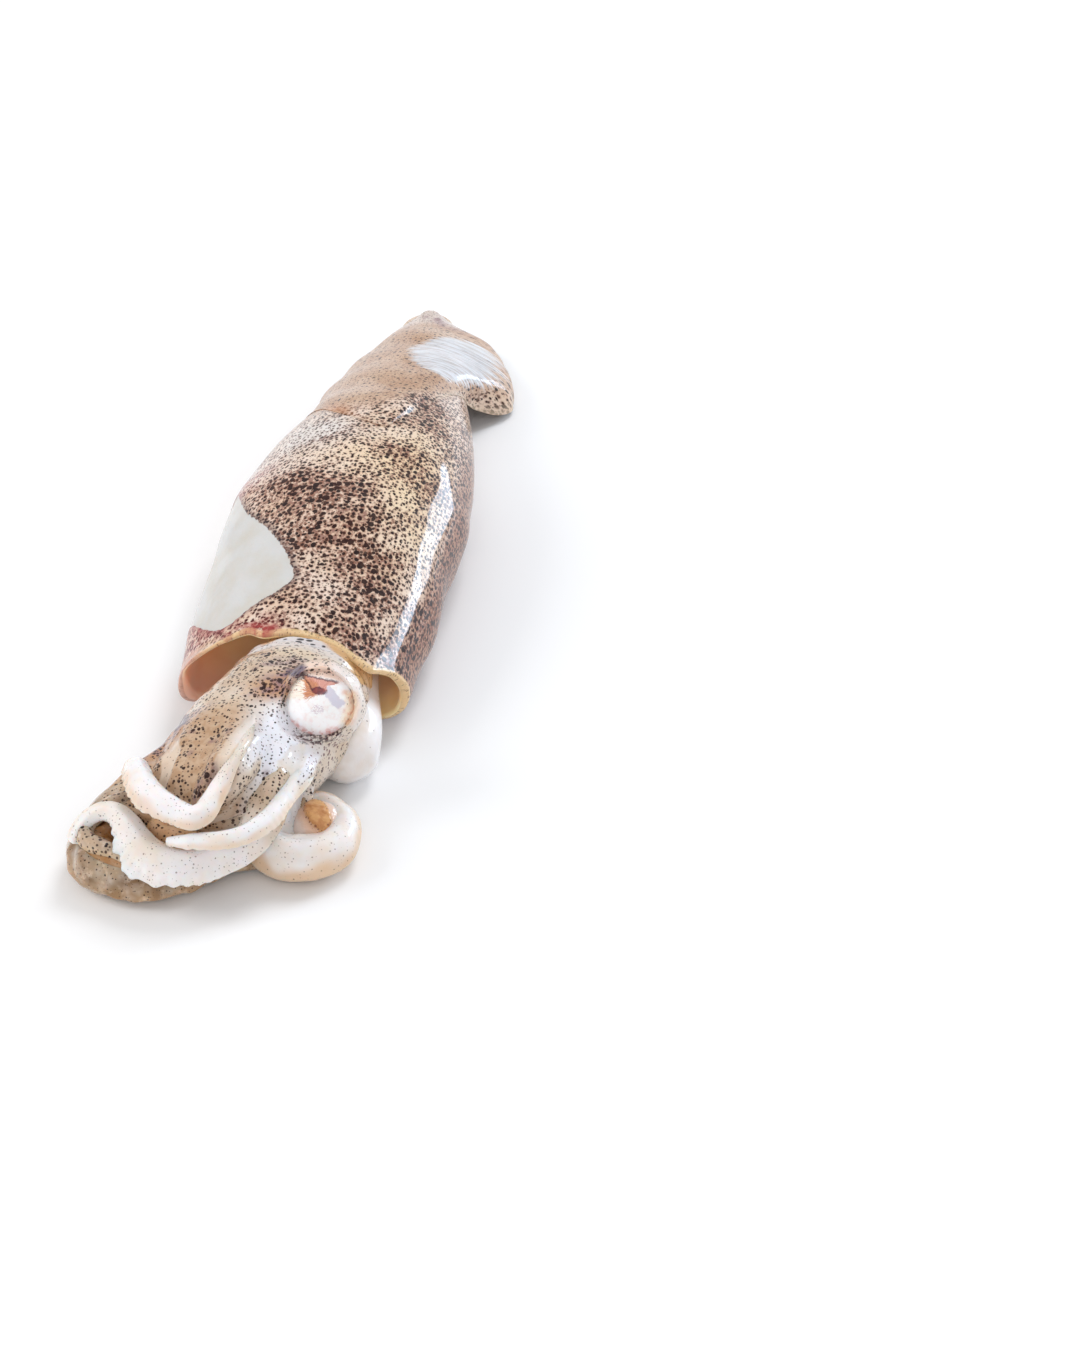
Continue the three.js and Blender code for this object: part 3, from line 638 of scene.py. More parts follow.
class SQUID_OT_fins(bpy.types.Operator):
    """The pair of fins, one sheet laid over the tail, hugging it on the left and spread out on the right"""

    bl_idname = "squid.fins"
    bl_label = "Fins"

    def execute(self, context):
        thickness = context.scene.squid_sizes.fin
        rows, half, tip_rows, edge_cols = 200, 120, 16, 8
        t = np.linspace(0, 1, rows - tip_rows)
        start = FIN_END_Y - TIP_ROUND
        y = FIN_FRONT_Y + (start - FIN_FRONT_Y) * (0.75 * t**1.15 + 0.25 * np.sin(t * np.pi / 2) ** 1.15)
        tip = start + TIP_ROUND * np.sin(np.linspace(0, np.pi / 2, tip_rows + 1)[1:])
        y = np.concatenate([y, tip])[:, None]
        share = np.linspace(-1, 1, 2 * half)[None, :]
        top = fin_surface(y, share)
        hug = step(0.35, 0.95, np.abs(share)) * np.where(share < 0, step(62, 32, y), step(74, 56, y))
        hug = np.maximum(hug, step(15, 4, y))
        pressed = mantle_point(y, direction(top, y), -0.14)
        top = top * (1 - hug)[..., None] + pressed * hug[..., None]
        normal = across(top)
        normal *= np.sign(normal[..., 2].mean())
        edge = step(0.8, 1.0, np.abs(share))
        thin = thickness * (1 - 0.62 * edge) * (1 - 0.85 * hug)
        ripple = 0.4 * waves(top, 24, 21) + 0.5 * waves(top, 13, 22) * edge
        top = top + normal * (ripple * (1 - hug) * step(119, 108, y))[..., None]
        under = top - normal * thin[..., None]
        turn = np.linspace(0, np.pi, edge_cols + 2)[1:-1]
        ends = []
        for column in (-1, 0):
            tangent = top[:, column] - top[:, -2 if column else 1]
            tangent = tangent / np.maximum(np.linalg.norm(tangent, axis=-1, keepdims=True), 1e-9)
            centre = (top[:, column] + under[:, column]) / 2
            gap = (top[:, column] - under[:, column]) / 2
            size = np.linalg.norm(gap, axis=-1, keepdims=True)
            ends.append(np.stack([centre + gap * np.cos(a) + tangent * size * np.sin(a) for a in turn], 1))
        points = np.concatenate([top, ends[0], under[:, ::-1], ends[1][:, ::-1]], 1)
        closing = np.sqrt(np.maximum(1 - (np.maximum(y - start, 0) / TIP_ROUND) ** 2, 0.0004))
        middle = smooth(MIDDLE, y)
        points[..., 0] = middle + (points[..., 0] - middle) * closing
        points[..., 2] = TIP_Z + (points[..., 2] - TIP_Z) * closing
        points[..., 2] = larger(points[..., 2], 0.1, 0.25)
        around = direction(points, y)
        across_mm = (around - np.pi / 2) * girth(y)
        fields = skin_fields(points, across_mm, points[..., 1], around)
        round_edge = np.ones(edge_cols)
        ring = np.concatenate([share[0], round_edge, share[0, ::-1], -round_edge])
        fields["margin"] = step(0.86, 1.0, np.abs(ring)) * step(20, 60, y)
        # Painted shade: amber in the pocket under the left fin's front corner.
        fields["amber"] = step(-0.45, -0.95, ring) * bell(y, 14, 6)
        wide = np.concatenate([across_mm, across_mm[:, :1]], 1)
        made = skin(
            "fins",
            points,
            np.stack(np.broadcast_arrays(wide, y), -1),
            fields,
            finish=skin_finish("fin skin"),
        )
        return {"FINISHED"}


# ------------------------------------------------------------------ head, eyes and funnel
def even(route, count):
    """A smooth curve through the route's points, read at equal steps of its length."""
    route = np.array(route, float)
    knot = np.concatenate([[0], np.cumsum(np.linalg.norm(np.diff(route, axis=0), axis=1) ** 0.8)])
    fine = np.linspace(0, knot[-1], 900)
    line = np.stack([smooth(np.stack([knot, route[:, k]], 1).tolist(), fine) for k in range(3)], -1)
    length = np.concatenate([[0], np.cumsum(np.linalg.norm(np.diff(line, axis=0), axis=1))])
    at = np.linspace(0, length[-1], count)
    return np.stack([np.interp(at, length, line[:, k]) for k in range(3)], -1)


def head_section(y):
    """Middle and half sizes of the head's ellipse at y."""
    return [smooth(HEAD, y, k) for k in (1, 2, 3, 4)]


def band_distance(bands, x, y):
    """Signed distance in plan, in mm, to the nearest of the bands, positive inside: for each length of a
    band's line, its half width there less the distance to it."""
    best = np.full(x.shape, -9.0)
    for line in bands:
        for (ax, ay, ar), (bx, by, br) in zip(line, line[1:]):
            long = (bx - ax) ** 2 + (by - ay) ** 2
            along = np.clip(((x - ax) * (bx - ax) + (y - ay) * (by - ay)) / long, 0, 1)
            away = np.hypot(x - ax - along * (bx - ax), y - ay - along * (by - ay))
            best = np.maximum(best, ar + (br - ar) * along - away)
    return best


def eye_plane(points, name="eye_left"):
    """Place of each point in mm to the right of and above the eye's middle, as seen along the eye's axis;
    from 1 mm in front of the middle backwards, it moves outwards by as much as the point lies behind
    that."""
    axis, right, up = EYE_AXES[name]
    away = points - np.array(EYES[name])
    over, above = away @ right, away @ up
    spread = 1 + np.maximum(1 - away @ axis, 0) / np.maximum(np.hypot(over, above), 1)
    return over * spread, above * spread


def flesh_fields(shape, **values):
    """The fields that the flesh's finish reads, with a plain value for each that isn't given."""
    plain = dict.fromkeys(("web", "tan", "neck", "sheen", "clump", "grey", "amber", "collar", "deep"), 0.0)
    plain.update(dots=1.0, lid_x=99.0, lid_y=99.0)
    return {key: np.broadcast_to(values.get(key, value), shape) for key, value in plain.items()}


def round_back(along, aside, radius):
    """How far out the far side of a circle lies: along + radius sqrt(1 - gap^2), where gap is aside as a
    share of the radius, falling by 6 mm to each gap past 1. It is 0 where the circle lies behind."""
    gap = np.abs(aside) / radius
    far = along + radius * np.sqrt(np.clip(1 - gap**2, 0, 1)) - 6 * np.maximum(gap - 1, 0)
    return np.where(along > 0, far, 0)


def head_skin(rows, cols):
    """The head and neck: at each y, the distance from its middle line in every direction is the larger,
    with a rounded change, of an ellipse, of the round back of each arm that runs there and of a ball
    drawn over each eye. The front is rounded off. Points within a ball in front of each eye are pushed
    out to its surface, which opens the skin there."""
    back, front = HEAD[0][0], HEAD[-1][0]
    share = (1 - np.cos(np.linspace(0.02, 0.98, rows) * np.pi)) / 2 * 0.35 + np.linspace(0, 1, rows) * 0.65
    share = share[:, None]
    y = back + (front - back) * share
    angle = np.linspace(-np.pi / 2, 1.5 * np.pi, cols + 1)[None, :-1]
    mid_x, half_x, mid_z, half_z = head_section(y)
    near = np.minimum(np.minimum(share, 1 - share) / 0.1, 1)
    c, s = np.cos(angle), np.sin(angle)
    reach = rounded(near) / np.sqrt((c / half_x) ** 2 + (s / half_z) ** 2)

    def turned(x, z):
        """A place's distances along and aside of each direction from the head's middle line."""
        return (x - mid_x) * c + (z - mid_z) * s, (z - mid_z) * c - (x - mid_x) * s

    there = step(-98, -106, y)
    for arm in ARMS.values():
        line = even(arm.get("ridge", arm["route"]), 220)
        thick = smooth(arm["radius"], np.linspace(0, 1, len(line)))
        sunk = 1.1 * step(-112, -122, y)
        if "ridge" in arm:
            thick, sunk = np.full(len(line), RIDGE_RADIUS), 0.0
        last = np.argmin(line[:, 1]) + 1
        order = np.argsort(line[:last, 1])
        arm_x, arm_z = (np.interp(y, line[order, 1], line[order, k]) for k in (0, 2))
        radius = np.interp(y, line[order, 1], thick[order]) + 0.3 - sunk
        back_of_arm = round_back(*turned(arm_x, arm_z), radius)
        reach = larger(reach, back_of_arm * there, 1.3 * there + 0.02)
    for centre_x, centre_y, centre_z in EYES.values():
        along, aside = turned(centre_x, centre_z)
        hood = round_back(along, np.hypot(aside, centre_y - y), HOOD_RADIUS)
        reach = larger(reach, hood, 1.6)
    reach = reach * rounded(np.clip((y - front) / 5.0, 0.002, 1))
    points = np.stack(np.broadcast_arrays(mid_x + reach * c, y, mid_z + reach * s), -1)
    for centre in SOCKETS:
        away = points - centre
        far = np.linalg.norm(away, axis=-1, keepdims=True)
        points = centre + away / far * larger(far, SOCKET_RADIUS, 1.3)
    return points, np.broadcast_to(y, points.shape[:2])


class SQUID_OT_head(bpy.types.Operator):
    """The head with its neck, the hollows round the eyes, and the roots of the arms as ridges"""

    bl_idname = "squid.head"
    bl_label = "Head"

    def execute(self, context):
        points, y = head_skin(270, 300)
        rows, cols = y.shape
        mid_x, _, mid_z, _ = head_section(y)
        centre = np.stack(np.broadcast_arrays(mid_x, y, mid_z), -1)
        out = across(points)
        out *= np.sign((out * (points - centre)).sum(-1, keepdims=True).mean())
        top = step(0.1, 0.45, out[..., 2])
        web = band_distance(WEBS, points[..., 0], y) + 0.25 * waves(points, 3, 34)
        web = np.where(top > 0, web, -9)
        stripe = band_distance(TANS, points[..., 0], y) + 0.2 * waves(points, 3, 35)
        lift = (0.18 * waves(points, 7, 31) + 0.25 * waves(points, 16, 32)) * step(1, 5, points[..., 2])
        folds = bell(y, -78, 5) * step(10, 16, points[..., 2])
        lift = lift + 1.0 * bell(y, -71, 9) * step(15, 20, points[..., 2])
        lift = lift + 0.3 * folds * np.sin(y * 2.3 + 0.25 * points[..., 0]) - 0.5 * step(-0.3, 0.6, web) * top
        points = points + out * lift[..., None]
        points[..., 2] = larger(points[..., 2], 0.25, 0.3)
        around = direction(points, y)
        beyond = mouth_edge(around) - y
        wide = 1.2 + 2.2 * step(85, 45, np.degrees(around))
        clump = sum(bell(points[..., 0], x, r) * bell(y, at, r) for x, at, r in CLUMPS) * top
        lid_x, lid_y = eye_plane(points)
        other_x, other_y = eye_plane(points, "eye_right")
        first = np.hypot(lid_x, lid_y) < np.hypot(other_x, other_y)
        lid_x, lid_y = np.where(first, lid_x, -other_x), np.where(first, lid_y, other_y)
        # Painted highlights: a bluish-white highlight in front of the eye and another below it, and a lighter
        # patch painted over the shade under the thin arm.
        sheen = 1.3 * bell(lid_x, -7.6, 4.5) * bell(lid_y, -5.0, 5.5)
        sheen = sheen + 1.1 * bell(lid_x, -3, 5) * bell(lid_y, -11.5, 4)
        sheen = sheen + 0.6 * bell(points[..., 0], 3.5, 3.4) * bell(y, -120, 6)
        tan = 0.85 * step(0.5, -4, points[..., 0]) * step(-101, -108, y) + step(-0.6, 0.4, stripe) * top
        tan = tan + 0.5 * step(4, -4, points[..., 0]) * step(-82, -87, y) * step(-102, -96, y) + 0.12
        sparse = 1 - 0.7 * step(-0.2, 0.4, band_distance(TANS[:1], points[..., 0], y))
        fields = flesh_fields(
            (rows, cols),
            dots=(0.35 + 0.65 * step(4, 9, points[..., 2])) * sparse,
            web=step(-0.12, 0.12, web),
            tan=np.clip(tan, 0, 1),
            neck=step(-86, -80, y),
            collar=step(wide + 0.5, wide - 0.5, beyond) * step(-10, 10, np.degrees(around)),
            sheen=np.clip(sheen, 0, 1) * top,
            clump=np.clip(clump, 0, 1),
            lid_x=lid_x,
            lid_y=lid_y,
        )
        made = skin(
            "head_skin",
            points,
            skin_map(88, cols, y[:, :1]),
            fields,
            finish=flesh_finish("head skin", HEAD_FLESH),
        )
        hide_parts("head_and_arms")
        return {"FINISHED"}


def frames_along(line, face):
    """Sideways and facing unit vectors along a line: the part of a given direction that is square to the
    line, and the line's direction crossed with it."""
    tangent = np.gradient(line, axis=0)
    tangent /= np.linalg.norm(tangent, axis=1, keepdims=True)
    up = np.array(face, float) - tangent * (tangent @ np.array(face, float))[:, None]
    up /= np.linalg.norm(up, axis=1, keepdims=True)
    return np.cross(tangent, up), up


def tube(line, side, up, wide, tall):
    """Points beside each point of a line, wide to its side and tall above it."""
    return line[:, None] + side[:, None] * wide[..., None] + up[:, None] * tall[..., None]


def skin_map(girth_mm, cols, along_mm):
    """A skin map of even steps round a limb and the given places along it, in mm."""
    return np.stack(np.broadcast_arrays(np.linspace(0, girth_mm, cols + 1)[None, :], along_mm), -1)


def limb_skin(arm, count, around):
    """A tapering limb: an ellipse with a narrower back, pinched to a soft ridge by powers of the cosine
    and sine, carried along the arm's line, with shallow folds, and a fringe along one edge, whose reach
    goes up and down in scallops, with low bars across the skin beside it. Its end is rounded off."""
    line = even(arm["route"], count)
    share = np.linspace(0, 1, count)[:, None]
    radius = smooth(arm["radius"], share)
    side, up = frames_along(line, (0.1, -0.5, 0.86))
    at = share * np.linalg.norm(np.diff(line, axis=0), axis=1).sum()
    phi = np.linspace(0, 2 * np.pi, around + 1)[None, :-1]
    c, s = np.cos(phi), np.sin(phi)
    end = np.clip((at[-1] - at) / (radius * 0.7), 0, 1)
    size = radius * rounded(end)
    size = size * (1 + 0.04 * np.sin(3 * phi + 0.12 * at) + 0.03 * np.sin(5 * phi - 0.1 * at + 1))
    c, s = np.sign(c) * np.abs(c) ** 1.12, np.sign(s) * np.abs(s) ** 1.3
    toward, reach, first, last = arm["fringe"]
    scallop = 0.5 + 0.5 * np.abs(np.sin(at * np.pi / 3.4 + 0.9 * np.sin(at * 0.41)))
    flap = turn_bell(np.degrees(phi), toward, 20) * step(first, first + 0.1, share)
    flap = reach * flap * scallop * step(last + 0.1, last, share)
    bars = turn_bell(np.degrees(phi), toward, 48) * step(first - 0.1, first, share) * min(reach, 1)
    bars = bars * np.sin(at * 2 * np.pi / 1.7 + 1.1 * np.sin(at * 0.6)) * step(last + 0.2, last, share)
    size = size + 0.16 * bars
    wide = size * c * (1 - 0.12 * np.maximum(s, 0)) * arm["flat"] + flap * np.cos(np.radians(toward))
    tall = size * s / arm["flat"] ** 0.5 - 0.3 * flap
    return tube(line, side, up, wide, tall), at, np.broadcast_to(s, wide.shape), share


class SQUID_OT_arms(bpy.types.Operator):
    """The eight arms and two tentacles, curled up in front of the head"""

    bl_idname = "squid.arms"
    bl_label = "Arms and tentacles"

    def execute(self, context):
        around = 48
        around_it = np.linspace(0, 2 * np.pi, around + 1)[None, :-1]
        for name, arm in ARMS.items():
            points, at, outward, share = limb_skin(arm, context.scene.squid_sizes.arm_steps, around)
            away = points - points.mean(1, keepdims=True)
            away = away / np.maximum(np.linalg.norm(away, axis=-1, keepdims=True), 0.5)
            lump = 0.12 * waves(points, 9, 41) + 0.03 * waves(points, 2.6, 42)
            knobs = waves(points, 4.6, 43) + 0.25 * waves(points, 2.6, 47)
            lump = lump + arm["lumps"] * knobs * step(0.35, 0.5, share)
            points = points + away * lump[..., None]
            points[..., 2] = larger(points[..., 2], 0.2, 0.3)
            dots, tan, grey, web, amber = arm["look"]
            root = step(0.42, 0.3, share) * arm.get("root", 1)
            # Painted shade and glow: amber on the lower side, towards the edge that amber's sign picks,
            # stands in for its shade and the light through the thin edge.
            low = np.sign(amber) * np.cos(around_it) - 0.5 * outward + 0.25 * waves(points, 7, 46)
            low = step(0.15, 0.9, low)
            fields = flesh_fields(
                outward.shape,
                dots=dots + (1 - dots) * root,
                web=(1 - root) * web,
                tan=tan + (0.5 - tan) * root,
                # grey: a brown, partly the flesh's own and partly painted shade near the table with a painted
                # brown reflection.
                grey=grey * (1 - root),
                # deep: an orange, partly the flesh's own and partly painted shade of the hollows that these
                # arms lie in.
                deep=arm.get("deep", 0) * (1 - root),
                amber=np.clip(low * abs(amber) + max(abs(amber) - 0.95, 0), 0, 1) * (1 - root),
            )
            uv = skin_map(22, around, at)
            made = skin(name, points, uv, fields, finish=flesh_finish("arm skin", ARM_FLESH))
        way, theta = ball((0.1, -0.3, 0.95), 60, 80)
        points = np.array(FLOOR_AT) + way * np.array(FLOOR_HALF)
        over, along = points[..., 0] - OVAL_AT[0], points[..., 1] - OVAL_AT[1]
        oval = np.hypot((over * 0.88 + along * 0.47) / 2.3, (along * 0.88 - over * 0.47) / 4.6)
        swell = 0.5 * step(1.15, 0.8, oval) * step(0, 0.5, way[..., 2]) + 0.05 * waves(points, 1.4, 45)
        points = points + way * swell[..., None]
        points[..., 2] = larger(points[..., 2], 0.2, 0.3)
        uv = skin_map(20, 80, theta * FLOOR_HALF[2])
        made = skin("coil_floor", points, uv, {"oval": oval}, finish=papilla_finish("sucker flesh"))
        return {"FINISHED"}


def ball(axis, rows, cols):
    """Directions from a ball's middle, in rows from the axis's pole to the opposite one: the axis times
    the cosine of the polar angle, and the two directions across it times its sine. Returns them and that
    angle."""
    axis = np.array(axis, float) / np.linalg.norm(axis)
    right = np.cross(axis, [0, 0, 1])
    right /= np.linalg.norm(right)
    up = np.cross(right, axis)
    theta = np.linspace(0, np.pi, rows + 2)[1:-1, None]
    turn = np.linspace(0, 2 * np.pi, cols + 1)[None, :-1]
    way = (
        axis * np.cos(theta)[..., None]
        + right * (np.sin(theta) * np.cos(turn))[..., None]
        + up * (np.sin(theta) * np.sin(turn))[..., None]
    )
    return way, theta


class SQUID_OT_eyes(bpy.types.Operator):
    """The two eyeballs"""

    bl_idname = "squid.eyes"
    bl_label = "Eyes"

    def execute(self, context):
        for name, centre in EYES.items():
            way, theta = ball(EYE_AXES[name][0], 90, 120)
            points = np.array(centre) + way * EYE_RADIUS
            points[..., 2] = larger(points[..., 2], 0.3, 0.2)
            fields = dict(zip(("eye_x", "eye_y"), eye_plane(points, name)))
            uv = skin_map(40, 120, theta * EYE_RADIUS)
            made = skin(name + "_ball", points, uv, fields, finish=eye_finish(name))
            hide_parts(name)
        return {"FINISHED"}


class SQUID_OT_funnel(bpy.types.Operator):
    """The white funnel, pushed out beside the head"""

    bl_idname = "squid.funnel"
    bl_label = "Funnel"

    def execute(self, context):
        rows, cols = 120, 144
        line = even(FUNNEL, rows)
        share = np.linspace(0, 1, rows)[:, None]
        radius = smooth([[0, 3.6], [0.35, 4.6], [0.75, 6.6], [1, 5.4]], share)
        side, up = frames_along(line, (0, 0, 1))
        length = np.linalg.norm(np.diff(line, axis=0), axis=1).sum()
        at = share * length
        end = np.clip((length - at) / (radius * 0.9), 0, 1)
        phi = np.linspace(0, 2 * np.pi, cols + 1)[None, :-1]
        turned = np.degrees(phi) + 2.4 * at
        folds = 0.5 * turn_bell(turned, 96, 15) - 0.55 * turn_bell(turned, 124, 13)
        folds = folds + 0.4 * turn_bell(turned, 40, 22) + 0.12 * np.sin(5 * phi + 0.3 * at)
        size = radius * rounded(end) + folds * step(0.02, 0.3, share) * step(0, 0.6, end)
        points = tube(line, side, up, size * np.cos(phi), size * np.sin(phi))
        points[..., 2] = larger(points[..., 2], 0.2, 0.3)
        uv = skin_map(34, cols, at)
        made = skin("funnel_skin", points, uv, finish=funnel_finish("funnel flesh"))
        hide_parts("funnel")
        return {"FINISHED"}


# ------------------------------------------------------------------ shader arithmetic
class Value:
    """A socket that takes part in Python arithmetic: each operator adds a Math node."""

    def __init__(self, finish, socket):
        self.finish = finish
        self.socket = socket

    def math(self, operation, *others, clamp=False):
        """The result of a Math node of this kind."""
        inputs = dict(enumerate((self, *others)))
        return self.finish.node("ShaderNodeMath", {"operation": operation, "use_clamp": clamp}, inputs)[0]

    def __add__(self, other):
        return self.math("ADD", other)

    __radd__ = __add__

    def __mul__(self, other):
        return self.math("MULTIPLY", other)

    __rmul__ = __mul__

    def __neg__(self):
        return self * -1

    def __sub__(self, other):
        return self.math("SUBTRACT", other)

    def __rsub__(self, other):
        return -self + other

    def __pow__(self, other):
        return self.math("POWER", other)

    def clamp(self):
        """The value held between 0 and 1."""
        return self.math("ADD", 0.0, clamp=True)

    def largest(self, other):
        """The larger of two values."""
        return self.math("MAXIMUM", other)

    def step(self, low, high):
        """0 at low, 1 at high, smooth between them."""
        ends = {"Value": self, "From Min": low, "From Max": high}
        return self.finish.node("ShaderNodeMapRange", {"interpolation_type": "SMOOTHSTEP"}, ends)[0]

    def within(self, far, near):
        """1 nearer to zero than near, on either side of it, and 0 farther than far."""
        return self.math("ABSOLUTE").step(far, near)


class Outputs:
    """A node's outputs by name or by number."""

    def __init__(self, finish, made):
        self.finish = finish
        self.made = made

    def __getitem__(self, key):
        return Value(self.finish, self.made.outputs[key])


class Finish:
    """A material under construction, with one method for any node."""

    def __init__(self, name):
        self.material = bpy.data.materials.new(name)
        self.material.use_nodes = True
        self.tree = self.material.node_tree
        self.tree.nodes.clear()

    def node(self, kind, settings=None, inputs=None):
        """Adds a node with these settings, links its inputs to values and sets the others."""
        made = self.tree.nodes.new(kind)
        for key, value in (settings or {}).items():
            setattr(made, key, value)
        for key, value in (inputs or {}).items():
            if isinstance(value, Value):
                self.tree.links.new(value.socket, made.inputs[key])
            elif isinstance(value, (tuple, list)) and len(value) == 3 and made.inputs[key].type == "RGBA":
                made.inputs[key].default_value = (*value, 1)
            else:
                made.inputs[key].default_value = value
        return Outputs(self, made)

    def fields(self, *names):
        """Floats stored on the piece's vertices."""
        return [self.node("ShaderNodeAttribute", {"attribute_name": name})["Fac"] for name in names]

    def mix(self, factor, a, b):
        """Colour a where factor is 0 and b where it is 1."""
        return self.node("ShaderNodeMix", {"data_type": "RGBA"}, {0: factor, 6: a, 7: b})[2]

    def tone(self, factor, low, high):
        """The same between two screen colours of 0 to 255."""
        return self.mix(factor, rgb(*low), rgb(*high))

    def coats(self, colour, *coats):
        """A colour under coats of others, each given as its mask and its colour."""
        for mask, coat in coats:
            colour = self.mix(mask, colour, coat)
        return colour

    def split(self, colour):
        """A colour's red, green and blue."""
        return self.node("ShaderNodeSeparateColor", {}, {0: colour})

    def vector(self, operation, first, second):
        """Vector arithmetic on two vectors, or on a vector and its scale."""
        key = "Scale" if operation == "SCALE" else 1
        return self.node("ShaderNodeVectorMath", {"operation": operation}, {0: first, key: second})[0]

    def scaled(self, at, scale, turn=0.0):
        """A place scaled along each axis and then turned about the third."""
        inputs = {"Vector": at, "Rotation": (0, 0, turn), "Scale": scale}
        return self.node("ShaderNodeMapping", {}, inputs)["Vector"]

    def place(self):
        """Millimetres in the object's own space."""
        return self.scaled(self.node("ShaderNodeTexCoord")["Object"], (1000.0,) * 3)

    def skin_place(self, long=1.0):
        """Millimetres across and along the piece's own skin map, squeezed along by long."""
        at = self.node("ShaderNodeUVMap", {"uv_map": "Skin"})["UV"]
        return self.scaled(at, (100.0, 100.0 * long, 100.0))

    def noise(self, at, scale, detail=3.0, rough=0.55, flat=False):
        """A noise with this many features to the millimetre, over a plane if flat."""
        settings = {"noise_dimensions": "2D" if flat else "3D"}
        inputs = {"Vector": at, "Scale": scale, "Detail": detail, "Roughness": rough}
        return self.node("ShaderNodeTexNoise", settings, inputs)

    def noises(self, at, *kinds, flat=False):
        """The heights of several noises, each given as its scale and detail."""
        return [self.noise(at, scale, detail, flat=flat)["Fac"] for scale, detail in kinds]

    def spots(self, at, spacing, least, most, amount, shift, flat, soft=0.14, ragged=0.5):
        """One pigment spot in each Voronoi cell: its radius runs from least to most of the spacing by the
        cell's own chance, times amount. A noise moves every place by up to half of ragged spacings each
        way, which frays the outline. Returns the spots' mask and another chance of the cell's."""
        base = self.vector("ADD", at, (shift, shift * 1.7, shift * 0.6))
        frayed = self.noise(base, 1.1 / spacing, 1.0, flat=flat)["Color"]
        frayed = self.vector("SCALE", self.vector("SUBTRACT", frayed, (0.5, 0.5, 0.5)), ragged * spacing)
        cell = self.node(
            "ShaderNodeTexVoronoi",
            {"voronoi_dimensions": "2D" if flat else "3D"},
            {"Vector": self.vector("ADD", base, frayed), "Scale": 1 / spacing, "Randomness": 0.85},
        )
        chance = self.split(cell["Color"])
        radius = (chance[0] * (most - least) + least) * amount
        mask = (radius - cell["Distance"]).step(-soft, soft) * radius.step(0.0, 0.08)
        return mask, chance[1]

    def bump(self, height, strength, distance):
        """A normal bent by a height."""
        inputs = {"Height": height, "Strength": strength, "Distance": distance}
        return self.node("ShaderNodeBump", {}, inputs)[0]

    def surface(self, colour, roughness, normal, coat=None, **numbers):
        """A principled surface; what varies is linked and what is constant is set."""
        shader = self.tree.nodes.new("ShaderNodeBsdfPrincipled")
        for key, value in numbers.items():
            shader.inputs[key.replace("_", " ")].default_value = value
        links = {"Base Color": colour, "Roughness": roughness, "Normal": normal, "Coat Weight": coat}
        for key, value in links.items():
            if isinstance(value, Value):
                self.tree.links.new(value.socket, shader.inputs[key])
            elif value is not None:
                shader.inputs[key].default_value = (*value, 1) if isinstance(value, tuple) else value
        out = self.tree.nodes.new("ShaderNodeOutputMaterial")
        self.tree.links.new(shader.outputs[0], out.inputs[0])
        return self.material


def rgb(red, green, blue):
    """A screen colour of 0 to 255 as linear light: a straight line near black, and a power above it."""
    parts = (red / 255, green / 255, blue / 255)
    return tuple(c / 12.92 if c <= 0.04045 else ((c + 0.055) / 1.055) ** 2.4 for c in parts)


FLESH = {
    "Subsurface_Weight": 0.12,
    "Subsurface_Radius": (1.0, 0.55, 0.4),
    "Subsurface_Scale": 0.0018,
    "IOR": 1.4,
    "Specular_IOR_Level": 0.12,
    "Coat_Roughness": 0.06,
    "Coat_IOR": 1.36,
}
HEAD_FLESH = {**FLESH, "Subsurface_Weight": 0.18}
ARM_FLESH = {**FLESH, "Subsurface_Weight": 0.55, "Subsurface_Scale": 0.003}
LINING = {
    **FLESH,
    "Subsurface_Weight": 1.0,
    "Subsurface_Scale": 0.006,
    "Subsurface_Radius": (1.0, 0.7, 0.5),
    # Painted glow: a faint amber emission stands in for light coming through the wall.
    "Emission_Color": (1, 0.66, 0.4, 1),
    "Emission_Strength": 0.06,
}
RELIEF = 0.0004  # height in metres of the skin's fine relief


